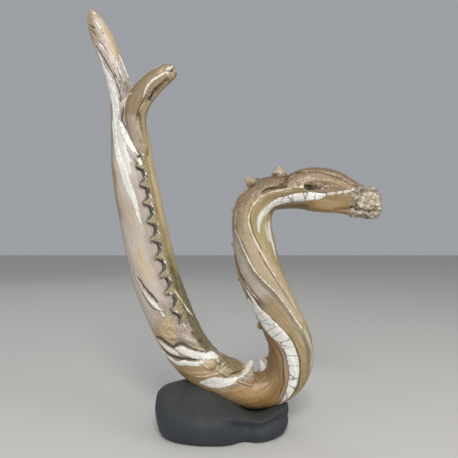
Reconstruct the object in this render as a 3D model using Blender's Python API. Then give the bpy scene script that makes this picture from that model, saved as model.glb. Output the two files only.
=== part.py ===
"""A fired clay dragon, one long body bent in an S, nested in a dark saddle stone.

Metres, +Z up. The viewer stands at -Y, the head points to +X and the forked tail
rises at -X. The origin is the middle of the stone's flat underside.
"""

import math

import bmesh
import bpy
import numpy as np
from mathutils import Matrix, Vector

# Driving dimensions
FIGURE_HEIGHT = 0.354  # underside of the lower bend to the tip of the tail
STONE_WIDTH = 0.117
STONE_DEPTH = 0.090
STONE_HEIGHT = 0.044
SEAT_GAP = 0.0003  # play between the body and the pocket it rests in
STEP_ALONG_BODY = 0.0072  # ring spacing on the plain stretches
STEP_ALONG_HEAD = 0.0030  # ring spacing where the head is carved
BODY_SIDES = 24
HORN_SIDES = 14

# Shares of the stone's own height and size
BEND_LEVEL = 0.39  # the body's lowest line above the table
UNDERSIDE_SHARE = 0.80  # flat underside as a share of the plan outline

PERCENT = FIGURE_HEIGHT / 100

# The pose, tail tip to snout, in hundredths of FIGURE_HEIGHT:
# centre x, y, z, then the breadth seen from the front and the thickness from front to back.
POSE = (
    (-33.4, 1.6, 99.9, 0.9, 0.8),
    (-32.8, 1.6, 98.5, 2.8, 1.9),
    (-30.9, 1.6, 94.1, 5.0, 3.2),
    (-28.9, 1.6, 89.5, 5.3, 3.6),
    (-26.8, 1.5, 83.2, 5.6, 4.0),
    (-25.5, 1.4, 78.6, 5.9, 4.4),
    (-23.1, 0.8, 67.7, 9.5, 8.0),
    (-22.5, 0.5, 61.2, 10.4, 9.0),
    (-21.1, 0.2, 53.3, 11.0, 9.6),
    (-18.1, 0.0, 39.1, 11.5, 10.0),
    (-16.1, 0.0, 31.2, 11.6, 10.0),
    (-13.5, 0.0, 24.4, 11.4, 10.0),
    (-6.9, 0.0, 12.7, 10.6, 9.6),
    (0.1, 0.0, 7.4, 9.7, 9.2),
    (8.6, 0.0, 4.7, 9.3, 9.0),
    (12.6, 0.0, 5.6, 9.6, 9.2),
    (15.5, 0.0, 8.3, 10.6, 9.8),
    (16.9, 0.0, 12.5, 11.2, 10.2),
    (16.7, 0.0, 16.8, 10.9, 10.2),
    (14.7, 0.0, 21.8, 10.7, 10.2),
    (8.8, 0.0, 35.6, 10.9, 10.2),
    (7.7, 0.0, 41.9, 10.3, 10.0),
    (7.3, 0.0, 46.8, 9.7, 9.6),
    (8.2, 0.0, 50.4, 9.6, 9.2),
    (10.7, 0.0, 52.8, 8.8, 8.8),
    (16.3, 0.0, 53.7, 8.3, 8.6),
    (21.0, -0.2, 54.5, 10.6, 9.4),
    (26.7, -0.8, 53.8, 10.7, 8.4),
    (31.9, -1.6, 52.0, 8.4, 6.8),
    (34.2, -2.0, 51.1, 7.9, 7.0),
    (36.5, -2.4, 50.8, 7.9, 7.2),
    (37.7, -2.7, 50.7, 7.4, 6.6),
    (38.2, -2.8, 50.7, 5.4, 4.8),
)

# The second fluke, which leaves the front of the tail and curls away, in the same terms.
HORN = (
    (-19.7, -1.2, 60.4, 2.4, 2.2),
    (-20.0, -1.9, 63.9, 3.8, 3.2),
    (-20.8, -2.6, 68.6, 4.7, 3.8),
    (-21.0, -3.2, 72.6, 5.3, 3.9),
    (-20.0, -3.7, 75.7, 5.7, 3.9),
    (-18.2, -4.0, 78.1, 5.8, 3.9),
    (-16.1, -4.2, 80.0, 5.5, 3.8),
    (-13.9, -4.4, 81.5, 4.8, 3.6),
    (-12.2, -4.5, 82.4, 3.9, 3.0),
    (-11.4, -4.5, 82.8, 2.4, 1.9),
)

# Positions along the body are percent of its length from the tail tip. Angles round it are
# degrees: 0 faces the viewer, 90 is the back, 180 the far side and -90 the belly.
HEAD_START = 83.0

# The saw-edged fin down the tail: a sheet of clay that laps over the front. Its teeth, where it
# runs, the angle of its root, of a scallop's bottom and of a tip, then how far it stands off the
# body at a scallop and at a tip, and its thickness at the edge, in hundredths of FIGURE_HEIGHT.
FIN_TEETH = 9
FIN_FROM, FIN_TO = 22.0, 40.4
FIN_ROOT, FIN_VALLEY, FIN_TIP = 58.0, 34.0, 13.0
FIN_RISE, FIN_TIP_RISE = 0.7, 1.25
FIN_EDGE = 0.38
FIN_STEPS = 6
# Torn folds that lap over the next stretch of the back: from and to along the body, low and high
# angle, then how far the torn edge stands off and how deep its jags are.
FOLDS = (
    (46.2, 50.0, 12.0, 62.0, 1.3, 0.5),
    (49.6, 53.3, 22.0, 104.0, 1.5, 0.4),
    (52.4, 56.0, 24.0, 96.0, 1.4, 0.6),
)
FOLD_EDGE = 0.7
FOLD_STEPS = 7
# Loose thorns: position, angle of the root, angle the tip points to, length, height and how far
# the tip leans towards the head.
THORNS = (
    (42.6, 40.0, 30.0, 1.8, 0.9, 0.2),
    (44.0, 44.0, 40.0, 1.9, 1.0, 0.2),
    (45.6, 46.0, 60.0, 2.0, 1.0, 0.2),
    (54.7, 66.0, 86.0, 3.0, 3.2, -0.1),
    (58.2, 88.0, 98.0, 2.6, 2.6, 0.1),
    (62.4, 90.0, 95.0, 1.6, 1.2, 0.0),
    (68.5, 86.0, 84.0, 3.4, 1.7, 0.2),
    (74.8, 88.0, 92.0, 1.6, 0.4, 0.0),
    (76.9, 90.0, 92.0, 1.8, 0.55, 0.2),
    (78.7, 88.0, 90.0, 2.6, 0.55, 0.3),
    (82.3, 86.0, 90.0, 3.0, 0.6, 0.4),
    (85.2, 88.0, 92.0, 4.6, 2.2, -1.5),
    (87.3, 90.0, 88.0, 4.2, 2.6, -0.1),
)
THORN_THICKNESS = 0.5  # share of a thorn's length
ROOT_DEPTH = 0.9  # hundredths of FIGURE_HEIGHT, sunk in the body

# Cuts in both cheeks of the head: (position, degrees from the line of the back) along each
# line, then half breadth and depth in hundredths of FIGURE_HEIGHT.
HEAD_CUTS = (
    (((85.2, 80), (86.4, 76), (87.6, 66), (88.7, 44), (89.8, 31), (91.5, 38), (95.8, 48)), 0.42, 0.45),
    (((90.6, 86), (91.8, 77), (93.5, 76), (95.4, 82)), 0.45, 0.40),
    (((95.0, 150), (96.4, 140), (97.8, 128), (99.6, 120)), 0.45, 0.60),
    (((97.2, 38), (97.3, 80), (97.0, 110), (96.6, 140)), 0.45, 0.45),
)
EYE = (91.0, 87.0, 0.95, 0.80)
# Lumps of the snout: position, degrees from the back, half breadth, height.
SNOUT_LUMPS = (
    (98.6, 20.0, 1.0, 0.35),
    (98.4, 62.0, 0.9, 0.45),
    (99.4, 78.0, 0.8, -0.45),
    (98.5, 128.0, 1.2, 0.45),
    (97.4, 160.0, 1.2, 0.30),
)
# A groove that makes the horn a curled leaf: (percent of its length, angle), breadth, depth.
HORN_GROOVE = (((18, -45), (40, -32), (50, -40), (62, -52), (76, -66), (88, -55)), 0.75, 1.05)

# The stone's top along X and its outline, as shares of its own size.
STONE_CREST = ((-1.0, 0.92), (-0.72, 0.99), (-0.42, 1.0), (-0.14, 0.90), (0.10, 0.70),
               (0.32, 0.55), (0.55, 0.53), (0.78, 0.60), (1.0, 0.62))
# Its section from the rim of the flat underside to the top: share outwards, share upwards.
STONE_PROFILE = ((UNDERSIDE_SHARE, 0.0), (0.90, 0.08), (0.955, 0.22), (0.99, 0.42), (1.0, 0.58),
                 (0.99, 0.72), (0.95, 0.83), (0.86, 0.90), (0.70, 0.95), (0.48, 0.98), (0.24, 0.995))
STONE_SIDES = 48
# The top falls towards the viewer: by this share left of the saddle, by the second one right of it.
FRONT_FALL, FRONT_FALL_RIGHT = 0.50, 0.08
STONE_HOLLOW = (0.50, 0.30, 0.42, 0.16)  # centre along X, reach along X and Y, depth
# The worn channel round the front right shoulder: (along X, share of the height), then reach and depth.
STONE_LEDGE = ((-0.10, 0.62), (0.10, 0.42), (0.30, 0.30), (0.55, 0.29), (0.80, 0.38))
LEDGE_REACH, LEDGE_DEPTH = 0.085, 0.075


def clear_scene():
    for thing in list(bpy.data.objects):
        bpy.data.objects.remove(thing)


def finish_material(name, colour, roughness, metallic=0.0):
    material = bpy.data.materials.new(name)
    material.use_nodes = True
    shader = material.node_tree.nodes["Principled BSDF"]
    shader.inputs["Base Color"].default_value = (*colour, 1.0)
    shader.inputs["Roughness"].default_value = roughness
    shader.inputs["Metallic"].default_value = metallic
    return material


def through(rows, at):
    """Values of a smooth curve through the rows, at shares 0 to 1 of its length."""
    rows = np.array(rows, float)
    along = np.r_[0, np.cumsum(np.linalg.norm(np.diff(rows[:, :3], axis=0), axis=1))]
    along /= along[-1]
    gaps = np.diff(along)[:, None]
    slopes = np.diff(rows, axis=0) / gaps
    inner = (slopes[:-1] * gaps[1:] + slopes[1:] * gaps[:-1]) / (gaps[1:] + gaps[:-1])
    tangents = np.vstack([slopes[:1], inner, slopes[-1:]])
    at = np.clip(np.asarray(at, float), 0, 1)
    k = np.clip(np.searchsorted(along, at, side="right") - 1, 0, len(rows) - 2)
    h = gaps[k]
    t = ((at - along[k]) / gaps[k, 0])[:, None]
    return (
        rows[k] * (2 * t**3 - 3 * t**2 + 1)
        + tangents[k] * h * (t**3 - 2 * t**2 + t)
        + rows[k + 1] * (3 * t**2 - 2 * t**3)
        + tangents[k + 1] * h * (t**3 - t**2)
    )


def frames(rows, at):
    """Centres, directions along, to the viewer and to the back, half breadths and half thicknesses."""
    small = 0.002
    here = through(rows, at) * PERCENT
    run = through(rows, np.asarray(at) + small)[:, :3] - through(rows, np.asarray(at) - small)[:, :3]
    run /= np.linalg.norm(run, axis=1)[:, None]
    back = np.stack([-run[:, 2], 0 * run[:, 0], run[:, 0]], axis=1)
    back -= run * (back * run).sum(axis=1)[:, None]
    back /= np.linalg.norm(back, axis=1)[:, None]
    front = np.cross(run, back)
    return here[:, :3], run, front, back, here[:, 3] / 2, here[:, 4] / 2


def length_of(rows):
    points = through(rows, np.linspace(0, 1, 400))[:, :3] * PERCENT
    return float(np.linalg.norm(np.diff(points, axis=0), axis=1).sum())


def bump(distance, breadth):
    return np.exp(-((distance / breadth) ** 2))


def near_line(line, at, angle, length, radius):
    """Distance over the surface, in metres, from each (position, angle) to a line drawn on it."""
    line = np.array(line, float)
    fine = np.linspace(0, len(line) - 1, 12 * (len(line) - 1) + 1)
    steps = np.arange(len(line))
    line_at = np.interp(fine, steps, line[:, 0])
    line_angle = np.interp(fine, steps, line[:, 1])
    along = (at[..., None] - line_at) / 100 * length
    across = np.radians(angle[..., None] - line_angle) * radius[..., None]
    return np.sqrt(along**2 + across**2).min(axis=-1)


def body_relief(at, angle, radius):
    """How far the carving lifts or sinks the body's surface, in metres."""
    length = length_of(POSE)
    from_back = np.abs((angle - 90 + 180) % 360 - 180)
    lift = np.zeros_like(at)
    for line, breadth, depth in HEAD_CUTS:
        lift -= depth * PERCENT * bump(near_line(line, at, from_back, length, radius), breadth * PERCENT)
    for spot, from_line, breadth, height in (*SNOUT_LUMPS, (EYE[0], EYE[1], EYE[2], -EYE[3])):
        away = near_line(((spot, from_line), (spot, from_line)), at, from_back, length, radius)
        lift += height * PERCENT * bump(away, breadth * PERCENT)
    return lift


def horn_relief(at, angle, radius):
    line, breadth, depth = HORN_GROOVE
    away = near_line(line, at, (angle + 180) % 360 - 180, length_of(HORN), radius)
    return -depth * PERCENT * bump(away, breadth * PERCENT)


def swept(name, rows, stations, sides, relief, grow=0.0):
    """A closed body of rings along the rows' curve, with a fan at each end."""
    centre, run, front, back, half_breadth, half_depth = frames(rows, stations)
    angle = np.linspace(0, 360, sides, endpoint=False)
    cosine, sine = np.cos(np.radians(angle)), np.sin(np.radians(angle))
    ring = (
        front[:, None] * (half_depth[:, None] * cosine)[..., None]
        + back[:, None] * (half_breadth[:, None] * sine)[..., None]
    )
    radius = np.linalg.norm(ring, axis=2)
    at = np.repeat(np.asarray(stations)[:, None] * 100, sides, axis=1)
    lift = relief(at, np.repeat(angle[None], len(stations), axis=0), radius) + grow
    ring *= (1 + lift / radius)[..., None]
    points = centre[:, None] + ring
    bm = bmesh.new()
    rings = [[bm.verts.new(p) for p in row] for row in points]
    for one, two in zip(rings, rings[1:]):
        for i in range(sides):
            j = (i + 1) % sides
            bm.faces.new((one[i], one[j], two[j], two[i]))
    for row, end, sign in ((rings[0], 0, -1), (rings[-1], -1, 1)):
        tip = bm.verts.new(centre[end] + run[end] * sign * (0.25 * half_depth[end] + grow))
        for i in range(sides):
            bm.faces.new((row[i], row[(i + 1) % sides], tip)[::sign])
    bmesh.ops.recalc_face_normals(bm, faces=bm.faces)
    return mesh_object(name, bm)


def mesh_object(name, bm):
    mesh = bpy.data.meshes.new(name)
    bm.to_mesh(mesh)
    bm.free()
    made = bpy.data.objects.new(name, mesh)
    bpy.context.scene.collection.objects.link(made)
    return made


def body_stations():
    """Shares of the length where rings stand: even steps, closer on the carved head."""
    length = length_of(POSE)
    head = HEAD_START / 100
    plain = np.linspace(0, head, round(head * length / STEP_ALONG_BODY), endpoint=False)
    carved = np.linspace(head, 1, round((1 - head) * length / STEP_ALONG_HEAD))
    return np.r_[plain, carved]


def on_body(at, root_angle, tip_angle):
    """Root point sunk in the body, the run of the body there, and the ways out and across."""
    centre, run, front, back, half_breadth, half_depth = (v[0] for v in frames(POSE, [at / 100]))
    turn = math.radians(root_angle)
    root = front * half_depth * math.cos(turn) + back * half_breadth * math.sin(turn)
    root *= 1 - ROOT_DEPTH * PERCENT / np.linalg.norm(root)
    aim = math.radians(tip_angle)
    out = front * math.cos(aim) + back * math.sin(aim)
    return Vector(centre + root), Vector(run), Vector(out), Vector(np.cross(run, out))


def skin_point(at, angle, rise):
    """The point that stands a rise, in hundredths of FIGURE_HEIGHT, off the body's surface."""
    centre, _, front, back, half_breadth, half_depth = (v[0] for v in frames(POSE, [at / 100]))
    turn = math.radians(angle)
    ring = front * half_depth * math.cos(turn) + back * half_breadth * math.sin(turn)
    return Vector(centre + ring * (1 + rise * PERCENT / np.linalg.norm(ring)))


def lofted(name, loops):
    """A closed solid through loops of as many points each, capped at both ends."""
    bm = bmesh.new()
    rings = [[bm.verts.new(point) for point in loop] for loop in loops]
    for one, two in zip(rings, rings[1:]):
        for i in range(len(one)):
            j = (i + 1) % len(one)
            bm.faces.new((one[i], one[j], two[j], two[i]))
    bm.faces.new(rings[0][::-1])
    bm.faces.new(rings[-1])
    bmesh.ops.recalc_face_normals(bm, faces=bm.faces)
    return mesh_object(name, bm)


def thorn(at, root_angle, tip_angle, length, height, lean):
    """One loose thorn: an oval root drawn out to a blunt point."""
    root, run, out, side = on_body(at, root_angle, tip_angle)
    rise = (height + ROOT_DEPTH) * PERCENT
    loops = []
    for share, size in ((0.0, 1.0), (0.5, 0.66), (1.0, 0.12)):
        middle = root + out * rise * share + run * lean * PERCENT * share
        loop = []
        for i in range(6):
            turn = math.tau * i / 6
            step = run * math.cos(turn) + side * math.sin(turn) * THORN_THICKNESS
            loop.append(middle + step * size * length * PERCENT / 2)
        loops.append(loop)
    return lofted("thorn", loops)


def tooth_share(place):
    """How far the fin reaches from a scallop's bottom, 0, to a tooth's tip, 1."""
    past_tip = place - math.floor(place)
    if place < 0 or place > FIN_TEETH - 1:
        return max(0.0, 1 - 1.6 * min(past_tip, 1 - past_tip))
    fall = max(0.0, 1 - past_tip / 0.32)
    climb = max(0.0, (past_tip - 0.38) / 0.62) ** 1.6
    return max(fall, climb)


def saw_fin():
    """The saw-edged sheet: its root sunk in the body, its toothed edge standing off."""
    pitch = (FIN_TO - FIN_FROM) / (FIN_TEETH - 1)
    loops = []
    for k in range(1, (FIN_TEETH + 1) * FIN_STEPS):
        place = k / FIN_STEPS - 1
        share = tooth_share(place)
        ends = min(1.0, 2.2 * min(place + 1, FIN_TEETH - place))
        edge = FIN_VALLEY + (FIN_TIP - FIN_VALLEY) * share
        rise = (FIN_RISE + (FIN_TIP_RISE - FIN_RISE) * share) * ends
        middle = (FIN_ROOT + edge) / 2
        at = FIN_FROM + place * pitch
        loops.append([
            skin_point(at, FIN_ROOT, -0.25),
            skin_point(at, middle, 0.6 * rise),
            skin_point(at, edge, rise),
            skin_point(at, edge, rise - FIN_EDGE),
            skin_point(at, middle, -0.3),
            skin_point(at, FIN_ROOT, -ROOT_DEPTH),
        ])
    return lofted("saw_fin", loops)


def fold(start, end, low, high, rise, jag):
    """A torn sheet that climbs from the body's surface to a ragged edge standing off it."""
    loops = []
    for k in range(FOLD_STEPS + 1):
        share = k / FOLD_STEPS
        angle = low + (high - low) * share
        swell = math.sin(math.pi * min(max(share, 0.08), 0.92))
        edge = end + jag * math.sin(5.3 * k + start) - 1.2 * (1 - swell)
        height = rise * swell**0.5
        middle = (start + edge) / 2
        loops.append([
            skin_point(start, angle, -0.3),
            skin_point(middle, angle, 0.55 * height),
            skin_point(edge, angle, height),
            skin_point(edge - 0.25, angle, height - FOLD_EDGE),
            skin_point(middle, angle, -0.5),
            skin_point(start, angle, -ROOT_DEPTH),
        ])
    return lofted("fold", loops)


def hide_as_guide(thing):
    thing.hide_render = True
    thing.display_type = "WIRE"


def boolean(target, other, operation):
    modifier = target.modifiers.new(other.name, "BOOLEAN")
    modifier.operation = operation
    modifier.object = other
    modifier.solver = "EXACT"


def build_dragon(seat):
    """The whole figure is one piece of clay: body, curled fluke, fin and thorns joined."""
    dragon = swept("dragon", POSE, body_stations(), BODY_SIDES, body_relief)
    dragon.data.materials.append(finish_material("marbled_clay", (0.42, 0.31, 0.20), 0.35))
    horn_steps = np.linspace(0, 1, round(1.5 * length_of(HORN) / STEP_ALONG_BODY))
    horn = swept("curled_fluke", HORN, horn_steps, HORN_SIDES, horn_relief)
    folds = [fold(*row) for row in FOLDS]
    thorns = [thorn(*row) for row in THORNS]
    for addition in (horn, saw_fin(), *folds, *thorns):
        boolean(dragon, addition, "UNION")
        addition.parent = seat
        hide_as_guide(addition)
    dragon.parent = seat
    return dragon


def stone_top(x, y):
    """Height of the top as a share of the stone's: the crest, falling towards the viewer."""
    shares = np.array(STONE_CREST)
    rows = np.c_[shares[:, 0], 0 * shares[:, 0], 0 * shares[:, 0], shares[:, 1]]
    crest = float(through(rows, [(x + 1) / 2])[0, 3])
    right = float(np.clip((x + 0.3) / 0.6, 0, 1))
    fall = FRONT_FALL + (FRONT_FALL_RIGHT - FRONT_FALL) * right**2 * (3 - 2 * right)
    return crest * (1 - fall * max(0.0, -y) ** 1.3)


def stone_outline(turn):
    """Half extents of the plan, a rounded oblong with a waist at the front right."""
    roundness = 2.7
    reach = (abs(math.cos(turn)) ** roundness + abs(math.sin(turn)) ** roundness) ** (-1 / roundness)
    x, y = reach * math.cos(turn), reach * math.sin(turn)
    if y < 0:
        y *= 1 - 0.16 * math.exp(-(((x - 0.34) / 0.16) ** 2)) - 0.13 * max(0.0, x)
    return x, y


def ledge_cut(x, y, z):
    """How far the worn channel draws the side in, as a share of its reach."""
    if y > 0:
        return 0.0
    lows = np.array(STONE_LEDGE)
    level = np.interp(x, lows[:, 0], lows[:, 1])
    ends = np.clip((x - lows[0, 0]) / 0.25, 0, 1)
    return LEDGE_DEPTH * ends * math.exp(-(((z - level) / LEDGE_REACH) ** 2))


def hollow(x, y):
    """The dip in the top that leaves air under the bend."""
    middle, reach_x, reach_y, depth = STONE_HOLLOW
    return depth * math.exp(-(((x - middle) / reach_x) ** 2) - (y / reach_y) ** 2)


def stone_point(x, y, level):
    z = level * stone_top(x, y) - hollow(x, y) * level**3
    inward = 1 - ledge_cut(x, y, z)
    return x * STONE_WIDTH / 2 * inward, y * STONE_DEPTH / 2 * inward, z * STONE_HEIGHT


def build_stone(cutter):
    bm = bmesh.new()
    outline = [stone_outline(math.tau * i / STONE_SIDES) for i in range(STONE_SIDES)]
    rings = [
        [bm.verts.new(stone_point(x * spread, y * spread, level)) for x, y in outline]
        for spread, level in STONE_PROFILE
    ]
    for one, two in zip(rings, rings[1:]):
        for i in range(STONE_SIDES):
            j = (i + 1) % STONE_SIDES
            bm.faces.new((one[i], one[j], two[j], two[i]))
    top = bm.verts.new(stone_point(0, 0, 1))
    for i in range(STONE_SIDES):
        bm.faces.new((rings[-1][i], rings[-1][(i + 1) % STONE_SIDES], top))
    bm.faces.new(rings[0][::-1])
    bmesh.ops.recalc_face_normals(bm, faces=bm.faces)
    stone = mesh_object("stone_base", bm)
    stone.data.materials.append(finish_material("dark_stone", (0.055, 0.060, 0.070), 0.75))
    boolean(stone, cutter, "DIFFERENCE")
    return stone


def main():
    clear_scene()
    seat = bpy.data.objects.new("seat", None)
    bpy.context.scene.collection.objects.link(seat)
    seat.matrix_world = Matrix.Translation((0, 0, BEND_LEVEL * STONE_HEIGHT))
    build_dragon(seat)
    pocket = swept("seat_pocket", POSE, body_stations(), BODY_SIDES, body_relief, grow=SEAT_GAP)
    pocket.parent = seat
    hide_as_guide(pocket)
    build_stone(pocket)


main()
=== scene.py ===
"""Dresses the clay dragon and its stone: marbled, torn and glazed clay on a dark worn stone.

Metres, +Z up, the viewer at -Y. Places on the body are (percent of its length from the tail
tip, degrees round it): 0 faces the viewer, 90 is the back, 180 the far side, -90 the belly.
"""

import math

import bpy
import numpy as np
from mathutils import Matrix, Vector, noise


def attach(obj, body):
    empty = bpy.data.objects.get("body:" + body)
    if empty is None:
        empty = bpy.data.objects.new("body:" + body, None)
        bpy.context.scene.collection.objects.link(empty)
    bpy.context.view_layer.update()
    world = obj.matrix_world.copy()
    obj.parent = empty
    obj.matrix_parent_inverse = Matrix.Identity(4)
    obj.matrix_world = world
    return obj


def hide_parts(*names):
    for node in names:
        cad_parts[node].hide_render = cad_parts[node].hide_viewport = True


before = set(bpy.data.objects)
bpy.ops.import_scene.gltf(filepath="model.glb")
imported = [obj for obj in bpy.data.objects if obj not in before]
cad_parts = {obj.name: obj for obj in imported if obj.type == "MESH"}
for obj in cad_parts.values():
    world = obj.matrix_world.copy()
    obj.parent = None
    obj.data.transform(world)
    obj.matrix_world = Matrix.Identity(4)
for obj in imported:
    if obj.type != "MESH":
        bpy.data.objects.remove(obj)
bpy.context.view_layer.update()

bl_info = {
    "name": "Clay dragon on a stone",
    "version": (1, 0, 0),
    "blender": (4, 5, 0),
    "location": "View3D > Sidebar > Dragon",
    "description": "Models a marbled clay dragon and the stone it rests on",
    "category": "Object",
}

# The pose, tail tip to snout, in hundredths of the figure's height: centre x, y, z, then the
# breadth seen from the front and the thickness from front to back.
POSE = (
    (-33.4, 1.6, 99.9, 0.9, 0.8), (-32.8, 1.6, 98.5, 2.8, 1.9), (-30.9, 1.6, 94.1, 5.0, 3.2),
    (-28.9, 1.6, 89.5, 5.3, 3.6), (-26.8, 1.5, 83.2, 5.6, 4.0), (-25.5, 1.4, 78.6, 5.9, 4.4),
    (-23.1, 0.8, 67.7, 9.5, 8.0), (-22.5, 0.5, 61.2, 10.4, 9.0), (-21.1, 0.2, 53.3, 11.0, 9.6),
    (-18.1, 0.0, 39.1, 11.5, 10.0), (-16.1, 0.0, 31.2, 11.6, 10.0), (-13.5, 0.0, 24.4, 11.4, 10.0),
    (-6.9, 0.0, 12.7, 10.6, 9.6), (0.1, 0.0, 7.4, 9.7, 9.2), (8.6, 0.0, 4.7, 9.3, 9.0),
    (12.6, 0.0, 5.6, 9.6, 9.2), (15.5, 0.0, 8.3, 10.6, 9.8), (16.9, 0.0, 12.5, 11.2, 10.2),
    (16.7, 0.0, 16.8, 10.9, 10.2), (14.7, 0.0, 21.8, 10.7, 10.2), (8.8, 0.0, 35.6, 10.9, 10.2),
    (7.7, 0.0, 41.9, 10.3, 10.0), (7.3, 0.0, 46.8, 9.7, 9.6), (8.2, 0.0, 50.4, 9.6, 9.2),
    (10.7, 0.0, 52.8, 8.8, 8.8), (16.3, 0.0, 53.7, 8.3, 8.6), (21.0, -0.2, 54.5, 10.6, 9.4),
    (26.7, -0.8, 53.8, 10.7, 8.4), (31.9, -1.6, 52.0, 8.4, 6.8), (34.2, -2.0, 51.1, 7.9, 7.0),
    (36.5, -2.4, 50.8, 7.9, 7.2), (37.7, -2.7, 50.7, 7.4, 6.6), (38.2, -2.8, 50.7, 5.4, 4.8),
)

# The curled fluke in front of the tail, in the same terms.
FLUKE = (
    (-19.7, -1.2, 60.4, 2.4, 2.2), (-20.0, -1.9, 63.9, 3.8, 3.2), (-20.8, -2.6, 68.6, 4.7, 3.8),
    (-21.0, -3.2, 72.6, 5.3, 3.9), (-20.0, -3.7, 75.7, 5.7, 3.9), (-18.2, -4.0, 78.1, 5.8, 3.9),
    (-16.1, -4.2, 80.0, 5.5, 3.8), (-13.9, -4.4, 81.5, 4.8, 3.6), (-12.2, -4.5, 82.4, 3.9, 3.0),
    (-11.4, -4.5, 82.8, 2.4, 1.9),
)

# Where the head starts, how many rings and sides the skins have, and the rings of a rounded end.
HEAD_START = 83.0
RINGS_ON_BODY, RINGS_ON_HEAD, SIDES_OF_BODY = 480, 140, 124
RINGS_ON_FLUKE, SIDES_OF_FLUKE = 84, 60
CAP_RINGS = 6
MM = 0.001
# Whatever is further than this outside a stroke counts as this far, in mm.
OUTSIDE = -9.0
# How much further along a stroke lies on the far side; how far round it is looked for, in metres.
MIRROR_SHIFT, STROKE_REACH = 0.9, 0.012
POINTS_AT_ONCE = 4000
# The share of a curve's length over which its direction is taken.
TANGENT_STEP = 0.002
# Degrees of softness round the body for one percent of softness along it.
TURN_SOFTNESS = 7

# The saw-edged fin: a sheet that laps over the front. Its teeth, where it runs, the angle of its
# root, of a scallop's bottom and of a tip, how far it stands off there, and its edge's thickness.
FIN_TEETH = 9
FIN_FROM, FIN_TO = 22.0, 40.4
FIN_ROOT, FIN_VALLEY, FIN_TIP = 58.0, 30.0, 13.0
FIN_RISE, FIN_TIP_RISE = 0.7, 1.25
FIN_EDGE = 0.38
FIN_STEPS = 24
# A tooth's steep side and its long one: where it ends or starts between two tips, and its power.
FALL_TO, FALL_POWER = 0.27, 1.1
CLIMB_FROM, CLIMB_POWER = 0.62, 1.25
# Torn folds that lap over the next stretch: from, to, low and high angle, rise, depth of the jags.
FOLDS = (
    (46.2, 50.0, 12.0, 62.0, 1.3, 0.5), (49.6, 53.3, 22.0, 104.0, 1.5, 0.4),
    (52.4, 56.0, 24.0, 96.0, 1.4, 0.6),
)
# The thickness of a fold's edge, its tears and its rows; then the beat of the tears, the least
# share of its swell that an end keeps and how far an end draws back.
FOLD_EDGE = 0.7
FOLD_STEPS, FOLD_ROWS = 7, 56
JAG_STEP, END_SHARE, END_SETBACK = 5.3, 0.08, 1.2
# Thorns and knobs: position, angles of root and tip, length, height, how far the tip leans headwards.
THORNS = (
    (42.6, 40.0, 30.0, 1.8, 0.9, 0.2), (44.0, 44.0, 40.0, 1.9, 1.0, 0.2),
    (45.6, 46.0, 60.0, 2.0, 1.0, 0.2), (54.7, 66.0, 86.0, 4.0, 3.1, -0.1),
    (58.2, 88.0, 98.0, 2.6, 2.6, 0.1), (62.4, 90.0, 95.0, 1.6, 1.2, 0.0),
    (68.5, 86.0, 84.0, 3.4, 1.0, 0.2), (74.8, 88.0, 92.0, 1.6, 0.4, 0.0),
    (76.9, 90.0, 92.0, 1.8, 0.55, 0.2), (78.7, 88.0, 90.0, 2.6, 0.55, 0.3),
    (82.3, 86.0, 90.0, 3.0, 0.6, 0.4), (85.2, 88.0, 92.0, 4.6, 2.2, -1.5),
    (87.3, 90.0, 88.0, 5.6, 2.6, -0.1),
)
# Their breadth as a share of their length, then how blunt and how hollow their sides are.
THORN_THICKNESS = 0.5
THORN_TIP, THORN_TAPER = 0.10, 0.8
THORN_SIDES, THORN_RINGS = 16, 14
# How deep a root sinks into the body.
ROOT_DEPTH = 0.9

# Cuts in both cheeks: (position, degrees from the line of the back), then half breadth, depth.
HEAD_CUTS = (
    (((85.2, 80), (86.4, 76), (87.6, 66), (88.7, 44), (89.8, 31), (91.5, 38), (95.8, 48)), 0.34, 0.50),
    (((90.6, 86), (91.8, 77), (93.5, 76), (95.4, 82)), 0.36, 0.42),
    (((95.0, 150), (96.4, 140), (97.8, 128), (99.6, 120)), 0.36, 0.62),
    (((97.2, 38), (97.3, 80), (97.0, 110), (96.6, 140)), 0.36, 0.48),
)
# The hollow of the eye, the pit in it and the snout's lumps: position, degrees from the line of
# the back, half breadth, height.
EYE = (91.0, 87.0, 0.95, -0.80)
EYE_PIT = (90.6, 86.0, 0.45, -0.55)
SNOUT_LUMPS = (
    (98.6, 20.0, 1.0, 0.35), (98.4, 62.0, 0.9, 0.45), (99.4, 78.0, 0.8, -0.45), (98.5, 128.0, 1.2, 0.45),
    (97.4, 160.0, 1.2, 0.30),
)
# The curled fluke's groove: its line, half breadth and depth.
FLUKE_GROOVE = (((18, -45), (40, -32), (50, -40), (62, -52), (76, -66), (88, -55)), 0.62, 1.10)

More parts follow.
